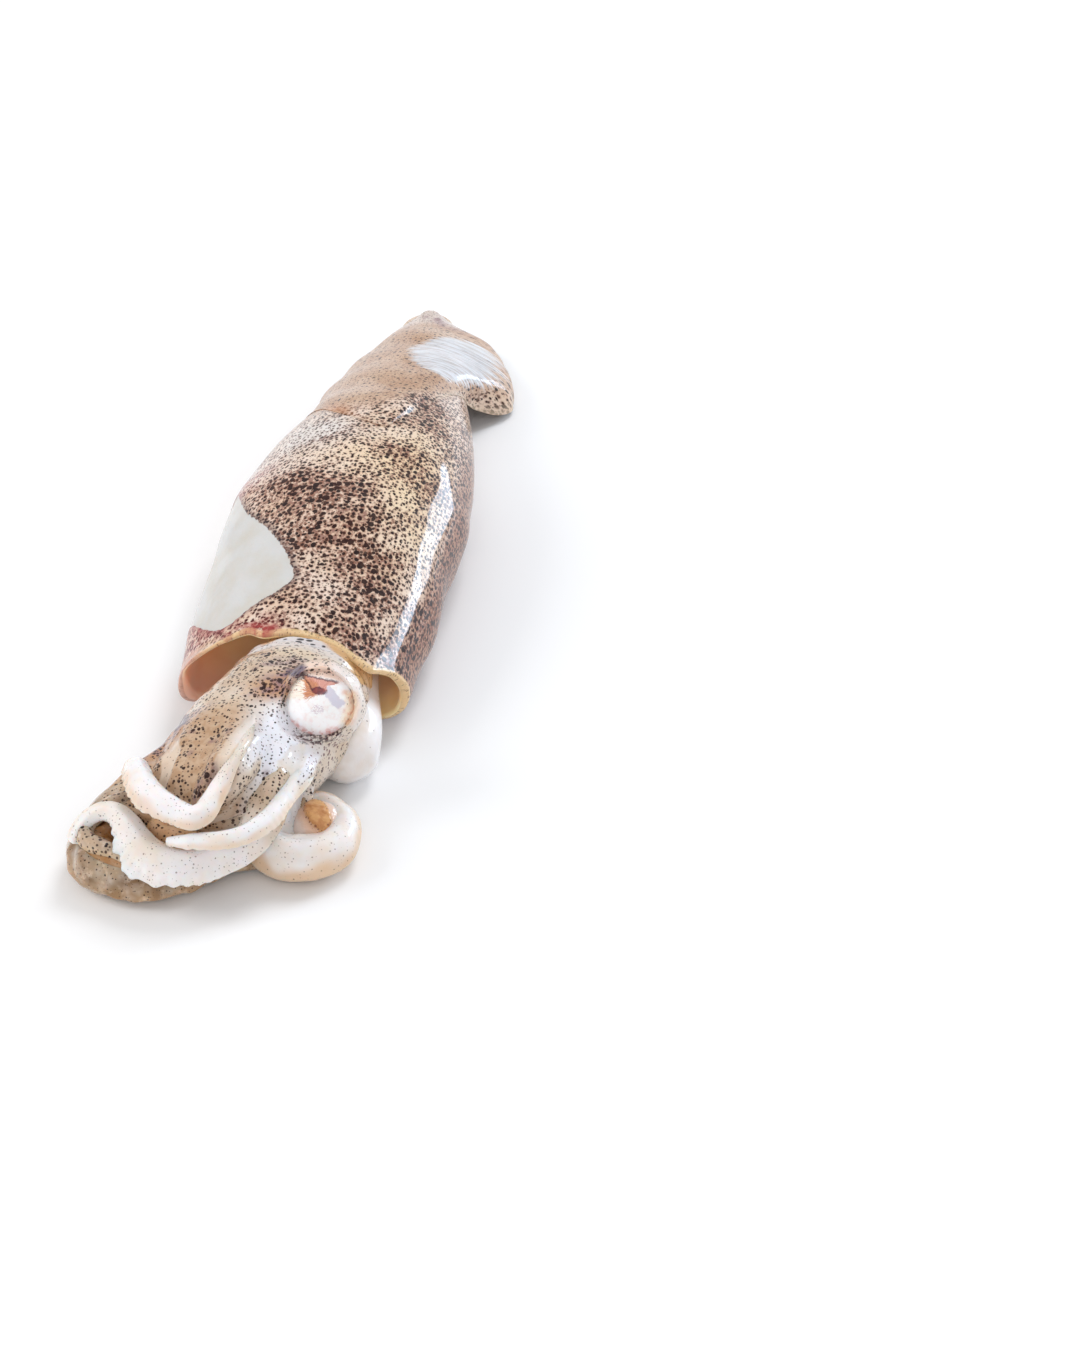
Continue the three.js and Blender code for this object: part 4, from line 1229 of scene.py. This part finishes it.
def skin_finish(name, sleeve=False):
    """Wet skin of the mantle and fins: cream flesh under a brown mottle and three sizes of pigment spots
    that are longer along the body, with painted shade on the right flank, which is partly the skin's own
    brown, and on the fins an amber of painted shade in the pocket under the left fin's front corner. The
    sleeve's bare patch and edge have no skin."""
    f = Finish(name)
    at = f.skin_place(0.66)
    dense, red, tan, pale = f.fields("dense", "red", "tan", "pale")
    warm, flank, stain, fibre = f.fields("warm", "flank", "stain", "fibre")
    broad, small, tiny = f.noises(at, (0.12, 3), (0.5, 4), (1.5, 3), flat=True)
    mottle = (small * 0.45 + tiny * 0.95 + dense * 0.24).step(0.86, 1.06) * dense.step(0.2, 0.9)
    cream = f.coats(
        f.tone(broad.step(0.35, 0.68), (228, 208, 193), (218, 193, 171)),
        (warm * 0.7, rgb(234, 210, 170)),
        (dense.step(0.4, 1.1) * 0.3, rgb(200, 156, 126)),
        # Painted shade on the right flank, which is partly the skin's own browner tone.
        (flank * 0.8, rgb(158, 108, 82)),
        (tan * 0.95, f.tone(broad.step(0.3, 0.7), (190, 157, 130), (178, 140, 111))),
        (pale * 0.75, f.tone(tan, (222, 218, 216), (216, 206, 200))),
        ((red * small.step(0.3, 0.7) * 0.8).clamp(), rgb(182, 104, 102)),
        ((stain * small.step(0.32, 0.6) * 0.75).clamp(), rgb(140, 106, 116)),
        (mottle * (1 - tan * 0.8) * 0.76, f.tone(broad.step(0.4, 0.6), (112, 58, 34), (126, 82, 76))),
    )
    crowd = ((dense * 0.86 + 0.22) * (1 - tan * 0.7) + tan * 0.52) * (1 - pale * 0.6)
    big, tone = f.spots(at, 1.28, 0.04, 0.41, crowd, 3.1, True, 0.05, 0.35)
    crowd = (dense * 0.3 + 0.74) * (1 - tan * 0.42)
    middle, shade = f.spots(at, 0.94, 0.15, 0.37, crowd, 7.7, True, 0.05, 0.25)
    halo, _ = f.spots(at, 0.94, 0.2, 0.6, dense * 0.6 + 0.5, 7.7, True, 0.2, 0.25)
    fine, _ = f.spots(at, 0.58, 0.06, 0.34, small.step(0.2, 0.6), 13.3, True, 0.08, 0.3)
    dark = f.mix(tone, tuple(bpy.context.scene.squid_colours.spot), rgb(24, 6, 8))
    dark = f.mix(red * 0.7, dark, rgb(112, 26, 34))
    strand = f.noise(f.scaled(f.skin_place(), (0.2, 1.3, 1.0), 0.25), 0.9, 4, 0.65, flat=True)["Fac"]
    torn = (fibre + strand * 7 - 3.5).step(-1.0, 1.4) * (0.74 + strand.step(0.35, 0.6) * 0.22)
    colour = f.coats(
        cream,
        (halo * 0.5 * (1 - tan * 0.6), f.tone(red * 0.7, (136, 78, 54), (160, 62, 66))),
        (fine * (0.6 - tan * 0.1), f.tone(tan, (104, 68, 52), (86, 54, 42))),
        (middle * (0.8 + shade * 0.2 - tan * 0.25), f.mix(tan * 0.8, dark, rgb(92, 56, 44))),
        (big * 0.97, dark),
        (torn, f.tone(strand.step(0.36, 0.62), (188, 188, 192), (216, 218, 223))),
    )
    height = small * 0.45 + big * 0.2 + middle * 0.12
    rough = 0.36 + small * 0.16
    if not sleeve:
        margin, amber = f.fields("margin", "amber")
        # amber: painted shade in the pocket under the left fin's front corner.
        colour = f.coats(colour, (margin * 0.5, rgb(222, 200, 176)), (amber * 0.6, rgb(188, 122, 70)))
        return f.surface(colour, rough, f.bump(height, 0.35, RELIEF), 0.4, **FLESH)
    bare, rim, lobe, blush = f.fields("bare", "rim", "lobe", "blush")
    bare = bare + (f.noise(at, 1.1, 4, flat=True)["Fac"] - 0.5) * 0.9
    stripped = bare.step(-0.1, 0.1)
    border = bare.step(-1.8, -0.1) * (1 - stripped)
    lip = rim.step(1.7, 1.0).largest(lobe * rim.step(5.0, 3.4))
    blush = (blush * rim.step(4, 2.4) * small.step(0.3, 0.55)).clamp()
    colour = f.coats(
        colour,
        (border * 0.55, f.tone(red, (62, 44, 52), (150, 84, 82))),
        (stripped, f.tone(broad.step(0.3, 0.75), (204, 203, 202), (198, 193, 184))),
        (lip * (1 - fine * 0.7) * 0.9, f.tone(lobe, (224, 192, 146), (200, 150, 130))),
        (blush * 0.85, rgb(168, 70, 66)),
    )
    return f.surface(colour, rough, f.bump(height - stripped * 0.8, 0.35, RELIEF), 0.6, **FLESH)


def lining_finish(name):
    """The smooth inner wall: amber flesh that lets much light through, with a faint painted glow that stands
    in for that light, pinker towards the rolled edge.
    """
    f = Finish(name)
    broad = f.noise(f.place(), 0.1, 2)["Fac"]
    rim, lobe = f.fields("rim", "lobe")
    colour = f.tone(broad.step(0.3, 0.7), (226, 200, 160), (218, 184, 140))
    colour = f.mix(rim.step(18, 2) * lobe * 0.9, colour, rgb(206, 160, 144))
    return f.surface(colour, 0.34, f.bump(broad, 0.2, RELIEF), 0.5, **LINING)


def flesh_finish(name, body):
    """Wet skin of the head and arms: cream flesh with scattered pigment spots, smooth white webs without,
    dark clumps, painted bluish-white highlights, pale blotches painted as highlights on the lumps of the
    lowest arms, a brown and an orange on the lowest and most hidden arms that are partly painted shade,
    amber on the arms' lower sides that is painted shade and a painted glow of light through them, and round
    the eye a peach lid, a bruise, a clear patch, a gold rim, painted shade along a crease, a dark smear above
    it that is partly painted shade, and painted shade below it where the skin tucks under the ball, each
    bounded by straight lines or part of a ring in the plane across the eye's axis."""
    f = Finish(name)
    at = f.place()
    dots, web, tan, neck, sheen, clump = f.fields("dots", "web", "tan", "neck", "sheen", "clump")
    grey, collar, amber, deep, x, y = f.fields("grey", "collar", "amber", "deep", "lid_x", "lid_y")
    broad, small, tiny = f.noises(at, (0.14, 3), (0.55, 4), (1.3, 3))
    # Painted highlights: soft pale blotches on the lowest arms that stand in for the glints on their lumps.
    painted_glints, _ = f.spots(at, 2.7, 0.3, 0.5, grey, 31.0, False, 0.3, 0.5)
    grey = (grey * small.step(0.2, 0.5)).clamp()
    cream = f.coats(
        f.tone(broad.step(0.35, 0.68), (222, 208, 194), (214, 194, 170)),
        (tan, f.tone(small.step(0.35, 0.65), (196, 167, 140), (180, 145, 114))),
        # Partly painted shade: the brown of the lowest arms, with a painted reflection of a brown surface
        # below them.
        (grey, f.tone(broad.step(0.4, 0.65), (128, 98, 70), (170, 148, 124))),
        (painted_glints * (small.step(0.3, 0.6) * 0.55), rgb(198, 188, 178)),
        (neck * 0.8, rgb(212, 208, 212)),
        (collar * 0.9, rgb(206, 160, 104)),
        # Painted highlight: a bluish white for the wet head's reflection of a lamp.
        (sheen * 0.9, rgb(234, 236, 246)),
    )
    white = f.tone(broad.step(0.35, 0.75), (236, 235, 238), (232, 222, 212))
    white = f.mix(tan * 0.9, white, rgb(212, 188, 164))
    x = x + 0.64
    ring = (x * x + y * y) ** 0.5 + small * 1.4 - 0.7
    peach = (y + x * 0.2).step(3.6, 5.2) * ring.step(9.2, 7.6) * (4.6 - x).step(-0.5, 1.0)
    bruise = (-x).step(3.0, 6.0) * (y + 0.6).step(0.0, 3.0) * ring.step(17.0, 9.0)
    clear = (x * 0.95 + y * 0.3).step(4.2, 5.6) * ring.step(10.5, 7.4) * (y + 7.5).step(0, 2) * 0.7
    gold = ring.step(5.2, 5.8) * ring.step(8.6, 7.2) * x.step(3.6, 4.8)
    gold = gold * (y + 4.6).step(0, 1) * (3.0 - y).step(0, 1)
    # Painted shade: a dark line along the crease at the eye's right rim.
    crease = (ring - 6.9).within(0.3, 0.08) * x.step(4.4, 5.2)
    crease = crease * (y + 0.8).step(0, 0.6) * (3.2 - y).step(0, 0.6)
    # Partly painted shade: a dark band at the eye's upper left, under the lid's edge, partly dark blotches of
    # pigment.
    smear = ((y - 6.6) + (x + 4.2) * 0.36).within(2.2, 0.9)
    smear = smear * (x + 9.6).step(0, 2.4) * (-1.4 - x).step(0, 1.4)
    # Painted shade: a dark broken line under the eye, where the skin tucks under the ball.
    below = (-y + x * 0.1).step(4.4, 6.2) * ring.step(8.1, 7.3)
    below = below * (x + 5.6).step(0, 1.6) * (6.0 - x).step(0, 1.4)
    blood = (-y).step(5.0, 7.0) * ring.step(14.0, 11.0) * (x + 4.0).step(0, 3)
    haze = (clump.step(0.15, 0.9) * small.step(0.3, 0.65)).clamp()
    crowd = dots * (1 - web * 0.85) * (1 - sheen * 0.35) * (1 - clear * 0.7) + bruise * 0.35
    big, tone = f.spots(at, 1.4, 0.0, 0.33, crowd * 0.85 + clump * 0.8, 5.3, False, 0.05, 0.3)
    crowd = crowd * 0.87 + clump * 0.4 + 0.1 * crowd.step(0.05, 0.3)
    middle, shade = f.spots(at, 0.82, 0.2, 0.44, crowd, 9.1, False, 0.05, 0.25)
    crowd = neck * (1 - collar * 0.6) * 1.1
    dash, _ = f.spots(f.scaled(at, (0.55, 1.3, 1.0)), 0.95, 0.2, 0.44, crowd, 15.0, False, 0.06, 0.3)
    fine, _ = f.spots(at, 0.72, 0.0, 0.24, dots.step(-0.3, 0.5), 21.0, False, 0.08, 0.4)
    dark = f.mix(blood * 0.8, f.tone(tone, (50, 24, 18), (30, 16, 24)), rgb(104, 36, 48))
    colour = f.coats(
        cream,
        (web, white),
        # Painted shade and glow on the arms' lower sides.
        (amber * 0.85, rgb(216, 176, 128)),
        # Partly painted shade: the deep orange of the arms in the hollows of the pile.
        (deep * (0.6 + small.step(0.3, 0.7) * 0.35), rgb(160, 100, 34)),
        (peach * 0.75, rgb(238, 208, 192)),
        (bruise * 0.9, f.tone(small.step(0.4, 0.6), (150, 110, 110), (186, 136, 98))),
        (haze * 0.55, rgb(126, 96, 108)),
        (fine * 0.65, rgb(92, 62, 50)),
        (middle * (0.78 + shade * 0.2) * (1 - neck), dark),
        (dash * 0.9 * neck, rgb(40, 34, 40)),
        (big * 0.96 * (1 - neck), dark),
        (clear * (1 - middle * 0.6), rgb(238, 230, 229)),
        (gold * 0.75, f.tone(small.step(0.42, 0.6), (246, 212, 178), (222, 156, 112))),
        (crease * 0.75, rgb(88, 54, 50)),
        (smear * 0.85, f.tone(tiny.step(0.35, 0.65), (44, 34, 50), (88, 74, 104))),
        (below * tiny.step(0.42, 0.56) * 0.85, rgb(58, 32, 42)),
    )
    height = small * 0.4 + big * 0.25 + middle * 0.15
    return f.surface(colour, 0.32 + small * 0.15, f.bump(height, 0.3, RELIEF), 0.9, **body)


def papilla_finish(name):
    """The floor of the coil: pinkish flesh round an orange-brown oval with a dark, grainy edge."""
    f = Finish(name)
    at = f.place()
    small, tiny = f.noises(at, (0.6, 3), (1.6, 3))
    oval = f.fields("oval")[0] + (tiny - 0.5) * 0.35
    crowd = oval.step(0.55, 0.85) * oval.step(1.35, 1.05)
    grain, _ = f.spots(at, 0.7, 0.1, 0.42, crowd, 4.4, False, 0.08, 0.3)
    colour = f.coats(
        f.tone(oval.step(1.1, 1.9), (222, 184, 158), (230, 214, 206)),
        (oval.step(1.08, 0.9), f.tone(small.step(0.35, 0.65), (214, 164, 112), (190, 134, 88))),
        (grain * 0.75, rgb(128, 78, 62)),
    )
    return f.surface(colour, 0.35, f.bump(tiny + grain * 0.4, 0.35, 0.0005), 0.7, **FLESH)


def funnel_finish(name):
    """Wet white flesh, faintly blue, with a few fine spots."""
    f = Finish(name)
    at = f.place()
    broad, small = f.noises(at, (0.12, 3), (0.7, 3))
    fine, _ = f.spots(at, 1.5, 0.0, 0.2, 0.9, 2.0, False, 0.06)
    colour = f.tone(broad.step(0.3, 0.7), (236, 233, 234), (226, 214, 204))
    colour = f.mix(fine * 0.8, colour, rgb(100, 72, 60))
    return f.surface(colour, 0.28 + small * 0.1, f.bump(small, 0.2, RELIEF), 0.8, **FLESH)


def eye_finish(name):
    """The eye as it lies open: a pale cream white with a brown iris under the upper edge, a dark slit, a
    grey-lavender band and a gold rim, each bounded by straight lines, a soft ellipse or part of a ring in the
    plane across the eye's axis."""
    f = Finish(name + " finish")
    at = f.place()
    small, tiny = f.noises(at, (0.9, 4), (2.4, 3))
    wander = f.split(f.noise(at, 0.6, 3)["Color"])
    shaken = f.split(f.noise(at, 2.2, 2)["Color"])
    x, y = f.fields("eye_x", "eye_y")
    x = x + (wander[0] - 0.5) * 1.3 + (shaken[0] - 0.5) * 0.5 + 0.64
    y = y + (wander[1] - 0.5) * 1.3 + (shaken[1] - 0.5) * 0.5
    ring = (x * x + y * y) ** 0.5

    def blob(middle_x, middle_y, half_x, half_y, turned, soft):
        """1 inside a turned ellipse and 0 outside it."""
        c, s = math.cos(turned), math.sin(turned)
        a = ((x - middle_x) * c + (y - middle_y) * s) * (1 / half_x)
        b = ((y - middle_y) * c - (x - middle_x) * s) * (1 / half_y)
        return (a * a + b * b).step(1 + soft, 1 - soft)

    turned = (y - 2.2).math("ARCTAN2", x - 0.4) * 9
    inputs = {"W": turned, "Scale": 1.0, "Detail": 3}
    ray = f.node("ShaderNodeTexNoise", {"noise_dimensions": "1D"}, inputs)[0]
    left = (y - 0.4).step(0.0, 1.0) * (-x - 1.5).step(0.0, 1.2)
    over = (y - 5.0 + x * 0.2).step(-0.1, 0.5)
    gold = ring.step(5.1, 6.1) * x.step(3.9, 5.0) * (y + 4.6).step(0, 1.4) * (3.0 - y).step(0, 1.2)
    pink = ring.step(4.6, 5.9) * (-y - x * 0.2).step(3.0, 4.6)
    scrawl = blob(0.3, -1.1, 1.3, 0.9, 0.2, 0.5) * (tiny - 0.5).within(0.05, 0.015)
    # A grey-lavender band to the right of the middle.
    long, wide = (x - 3.4) * 0.7 - (y - 1.1) * 0.714, (y - 1.1) * 0.7 + (x - 3.4) * 0.714
    lens = long.within(2.5, 2.1) * wide.within(1.15, 0.8)
    iris = (5.48 - (x + 2.74) * 0.2 - y).step(-0.1, 0.15)
    iris = iris * (x + 2.6 - (5.48 - y) * 0.1 - (ray - 0.5) * 3.0).step(-0.2, 0.35)
    iris = iris * (y - 1.3 - (x + 0.6) * 0.35 - (ray - 0.5) * 1.6).step(-0.2, 0.35)
    iris = iris * (y - 3.2 - (x - 2.02) * 0.343).step(-0.1, 0.15).largest((2.1 - x).step(-0.1, 0.2))
    inner = (0.6 - x).step(-0.2, 0.8) * (4.2 - y - x * 0.5).step(-0.4, 0.6)
    rosy = f.tone(ray.step(0.42, 0.6), (222, 164, 150), (204, 138, 124))
    brown = f.tone(ray.step(0.4, 0.6), (214, 146, 100), (176, 104, 74))
    slant = ((y - 5.4) + (x + 2.74) * 1.18).within(0.38, 0.08)
    slant = slant * (x + 3.0).step(0, 0.3) * (-0.2 - x).step(0, 0.4)
    lash = ((y - 5.5) + (x + 2.74) * 0.2).within(0.3, 0.06)
    lash = lash * (x + 3.2).step(0, 0.4) * (4.6 - x).step(0, 0.8)
    slit = blob(0.6, 2.45, 1.45, 0.75, -0.3, 0.4)
    crowd = left * 0.7 + over + ring.step(4.8, 6.0) * 0.6
    speck, _ = f.spots(at, 0.62, 0.0, 0.36, crowd, 4.0, False, 0.06, 0.3)
    colour = f.coats(
        f.tone(small.step(0.42, 0.8), (253, 252, 253), (246, 230, 228)),
        (left * 0.85, f.tone(ray.step(0.5, 0.62) * tiny.step(0.4, 0.55), (250, 238, 222), (214, 176, 158))),
        (over * 0.9, rgb(240, 212, 196)),
        (gold * 0.75, f.tone(small.step(0.42, 0.7), (252, 228, 198), (230, 172, 130))),
        (pink * (0.25 + small.step(0.38, 0.66) * 0.6), rgb(218, 146, 138)),
        (scrawl * 0.6, rgb(176, 132, 160)),
        (lens * 0.6, f.tone(small, (176, 168, 198), (206, 202, 222))),
        (iris * 0.95, f.mix(inner, rosy, brown)),
        (slant * 0.75, rgb(92, 54, 50)),
        (lash * 0.8, rgb(84, 50, 58)),
        (slit * 0.9, f.tone(small.step(0.4, 0.6), (84, 44, 62), (140, 66, 66))),
        (speck * 0.75, rgb(64, 42, 44)),
    )
    return f.surface(colour, 0.16, f.bump(small, 0.12, 0.0003), 1.0, **FLESH)


# ------------------------------------------------------------------ stage
TABLE_HALF = 4.0  # in metres
# The camera's place in metres, how far it looks down and to the left in degrees, its focal length and the
# long side of its picture in pixels, and the long side of its sensor in mm.
CAMERA_AT, LOOKS_DOWN, LOOKS_LEFT = (0.10635, -0.54895, 0.30827), 31.5, 6.67
FOCAL_PIXELS, LONG_PIXELS, SENSOR = 2800, 1350, 36


class SQUID_OT_stage(bpy.types.Operator):
    """The pale table, the soft lights and the camera"""

    bl_idname = "squid.stage"
    bl_label = "Table, lights and camera"

    def execute(self, context):
        scene = context.scene
        setting = scene.squid_stage
        mesh = bpy.data.meshes.new("table")
        corners = [(TABLE_HALF * x, TABLE_HALF * y, 0) for x, y in ((-1, -1), (1, -1), (1, 1), (-1, 1))]
        mesh.from_pydata(corners, [], [(0, 1, 2, 3)])
        table = bpy.data.objects.new("table", mesh)
        scene.collection.objects.link(table)
        f = Finish("table white")
        at = f.node("ShaderNodeTexCoord")["Object"]
        away = f.node("ShaderNodeVectorMath", {"operation": "LENGTH"}, {0: at})["Value"]
        far = f.mix(away.step(0.5, 1.6), (0.0, 0.0, 0.0), (0.42, 0.42, 0.42))
        shader = f.surface(rgb(246, 246, 247), 0.6, None, Emission_Strength=1.0)
        glow = next(n for n in shader.node_tree.nodes if n.type == "BSDF_PRINCIPLED").inputs["Emission Color"]
        f.tree.links.new(far.socket, glow)
        mesh.materials.append(shader)
        world = bpy.data.worlds.new("studio")
        scene.world = world
        world.use_nodes = True
        world.node_tree.nodes["Background"].inputs[0].default_value = (1, 1, 1, 1)
        background = world.node_tree.nodes["Background"].inputs[1]
        seen = world.node_tree.nodes.new("ShaderNodeLightPath").outputs["Is Camera Ray"]
        brighter = world.node_tree.nodes.new("ShaderNodeMapRange")
        brighter.inputs["To Min"].default_value, brighter.inputs["To Max"].default_value = setting.sky, 0.94
        world.node_tree.links.new(seen, brighter.inputs["Value"])
        world.node_tree.links.new(brighter.outputs[0], background)
        scene.view_settings.view_transform = "Standard"
        scene.view_settings.look = "None"

        def lamp(name, where, aim, size, power, tint=(1, 1, 1), long=(1, 0, 0), mirrored=False):
            """A rectangular lamp that faces its aim, with its width along long, seen in the wet skin if
            mirrored."""
            data = bpy.data.lights.new(name, "AREA")
            data.shape, data.size, data.size_y = "RECTANGLE", size[0], size[1]
            data.energy, data.color = power, tint
            made = bpy.data.objects.new(name, data)
            back = (Vector(where) - Vector(aim)).normalized()
            right = (Vector(long) - back * back.dot(Vector(long))).normalized()
            turn = Matrix((right, back.cross(right), back)).transposed().to_4x4()
            made.matrix_world = Matrix.Translation(where) @ turn
            made.visible_glossy = mirrored
            scene.collection.objects.link(made)

        pane = ((0.68, 0.83, 1), (0.33, -0.33, 0.41), True)
        lamp("window", (0.86, 1.2, 0.33), (0.02, -0.03, 0.02), (0.66, 0.34), setting.window, *pane)
        lamp("window_end", (1.0, 1.0, 0.53), (0.02, -0.06, 0.02), (0.3, 0.34), setting.window * 0.4, *pane)
        lamp("softbox", (0.3, 0.55, 0.97), (0, -0.05, 0), (0.45, 0.45), setting.softbox, (0.95, 0.97, 1))
        lamp("side", (-1.1, -0.2, 0.7), (0, -0.03, 0), (0.9, 0.7), setting.side)
        lamp("front", (0.3, -1.3, 0.8), (0, -0.05, 0), (0.8, 0.6), setting.front)

        data = bpy.data.cameras.new("camera")
        data.sensor_fit, data.sensor_width, data.sensor_height = "AUTO", SENSOR, SENSOR
        data.lens = FOCAL_PIXELS * SENSOR / LONG_PIXELS
        data.clip_start, data.clip_end = 0.01, 20
        camera = bpy.data.objects.new("camera", data)
        camera.location = CAMERA_AT
        camera.rotation_euler = (math.radians(90 - LOOKS_DOWN), 0, math.radians(LOOKS_LEFT))
        scene.collection.objects.link(camera)
        scene.camera = camera
        return {"FINISHED"}


# ------------------------------------------------------------------ settings, panel and running
class SquidSizes(bpy.types.PropertyGroup):
    """Sizes that a cook or a modeller would change"""

    wall: FloatProperty(
        name="Mantle wall", description="Thickness of the mantle's wall in mm", default=2.6, min=1, max=6
    )
    fin: FloatProperty(
        name="Fin", description="Thickness of a fin at its root in mm", default=2.0, min=0.5, max=4
    )
    arm_steps: IntProperty(
        name="Arm steps", description="How many rings an arm has", default=200, min=40, max=400
    )


class SquidColours(bpy.types.PropertyGroup):
    """Colours of the skin"""

    spot: FloatVectorProperty(
        name="Pigment",
        description="Colour of the dark pigment spots",
        subtype="COLOR",
        size=3,
        min=0,
        max=1,
        default=rgb(44, 12, 6),
    )


class SquidStage(bpy.types.PropertyGroup):
    """Strength of the lights"""

    sky: FloatProperty(name="Sky", description="Strength of the light from all round", default=0.55, min=0)
    window: FloatProperty(
        name="Window", description="Power of the low light behind", default=7.0, min=0, unit="POWER"
    )
    softbox: FloatProperty(
        name="Softbox", description="Power of the light overhead", default=5.0, min=0, unit="POWER"
    )
    side: FloatProperty(
        name="Side", description="Power of the light on the left", default=8.0, min=0, unit="POWER"
    )
    front: FloatProperty(
        name="Front", description="Power of the light in front", default=5.0, min=0, unit="POWER"
    )


PIECES = (
    SQUID_OT_mantle,
    SQUID_OT_fins,
    SQUID_OT_head,
    SQUID_OT_arms,
    SQUID_OT_eyes,
    SQUID_OT_funnel,
    SQUID_OT_stage,
)
GROUPS = {"squid_sizes": SquidSizes, "squid_colours": SquidColours, "squid_stage": SquidStage}


class SQUID_PT_panel(bpy.types.Panel):
    """The squid's pieces, sizes and colours"""

    bl_idname = "SQUID_PT_panel"
    bl_label = "Raw squid"
    bl_space_type = "VIEW_3D"
    bl_region_type = "UI"
    bl_category = "Squid"

    def draw(self, context):
        for name, group in GROUPS.items():
            for key in group.__annotations__:
                self.layout.prop(getattr(context.scene, name), key)
        for piece in PIECES:
            self.layout.operator(piece.bl_idname)


CLASSES = (*GROUPS.values(), *PIECES, SQUID_PT_panel)


def register():
    """Registers every class and hangs the settings on the scene."""
    for made in CLASSES:
        bpy.utils.register_class(made)
    for name, group in GROUPS.items():
        setattr(bpy.types.Scene, name, PointerProperty(type=group))


def unregister():
    """Takes the settings off the scene and removes every class."""
    for name in GROUPS:
        delattr(bpy.types.Scene, name)
    for made in reversed(CLASSES):
        bpy.utils.unregister_class(made)


def main():
    """Registers the add-on and builds every piece in order."""
    register()
    for piece in PIECES:
        group, name = piece.bl_idname.split(".")
        getattr(getattr(bpy.ops, group), name)()


if __name__ == "__main__":
    main()
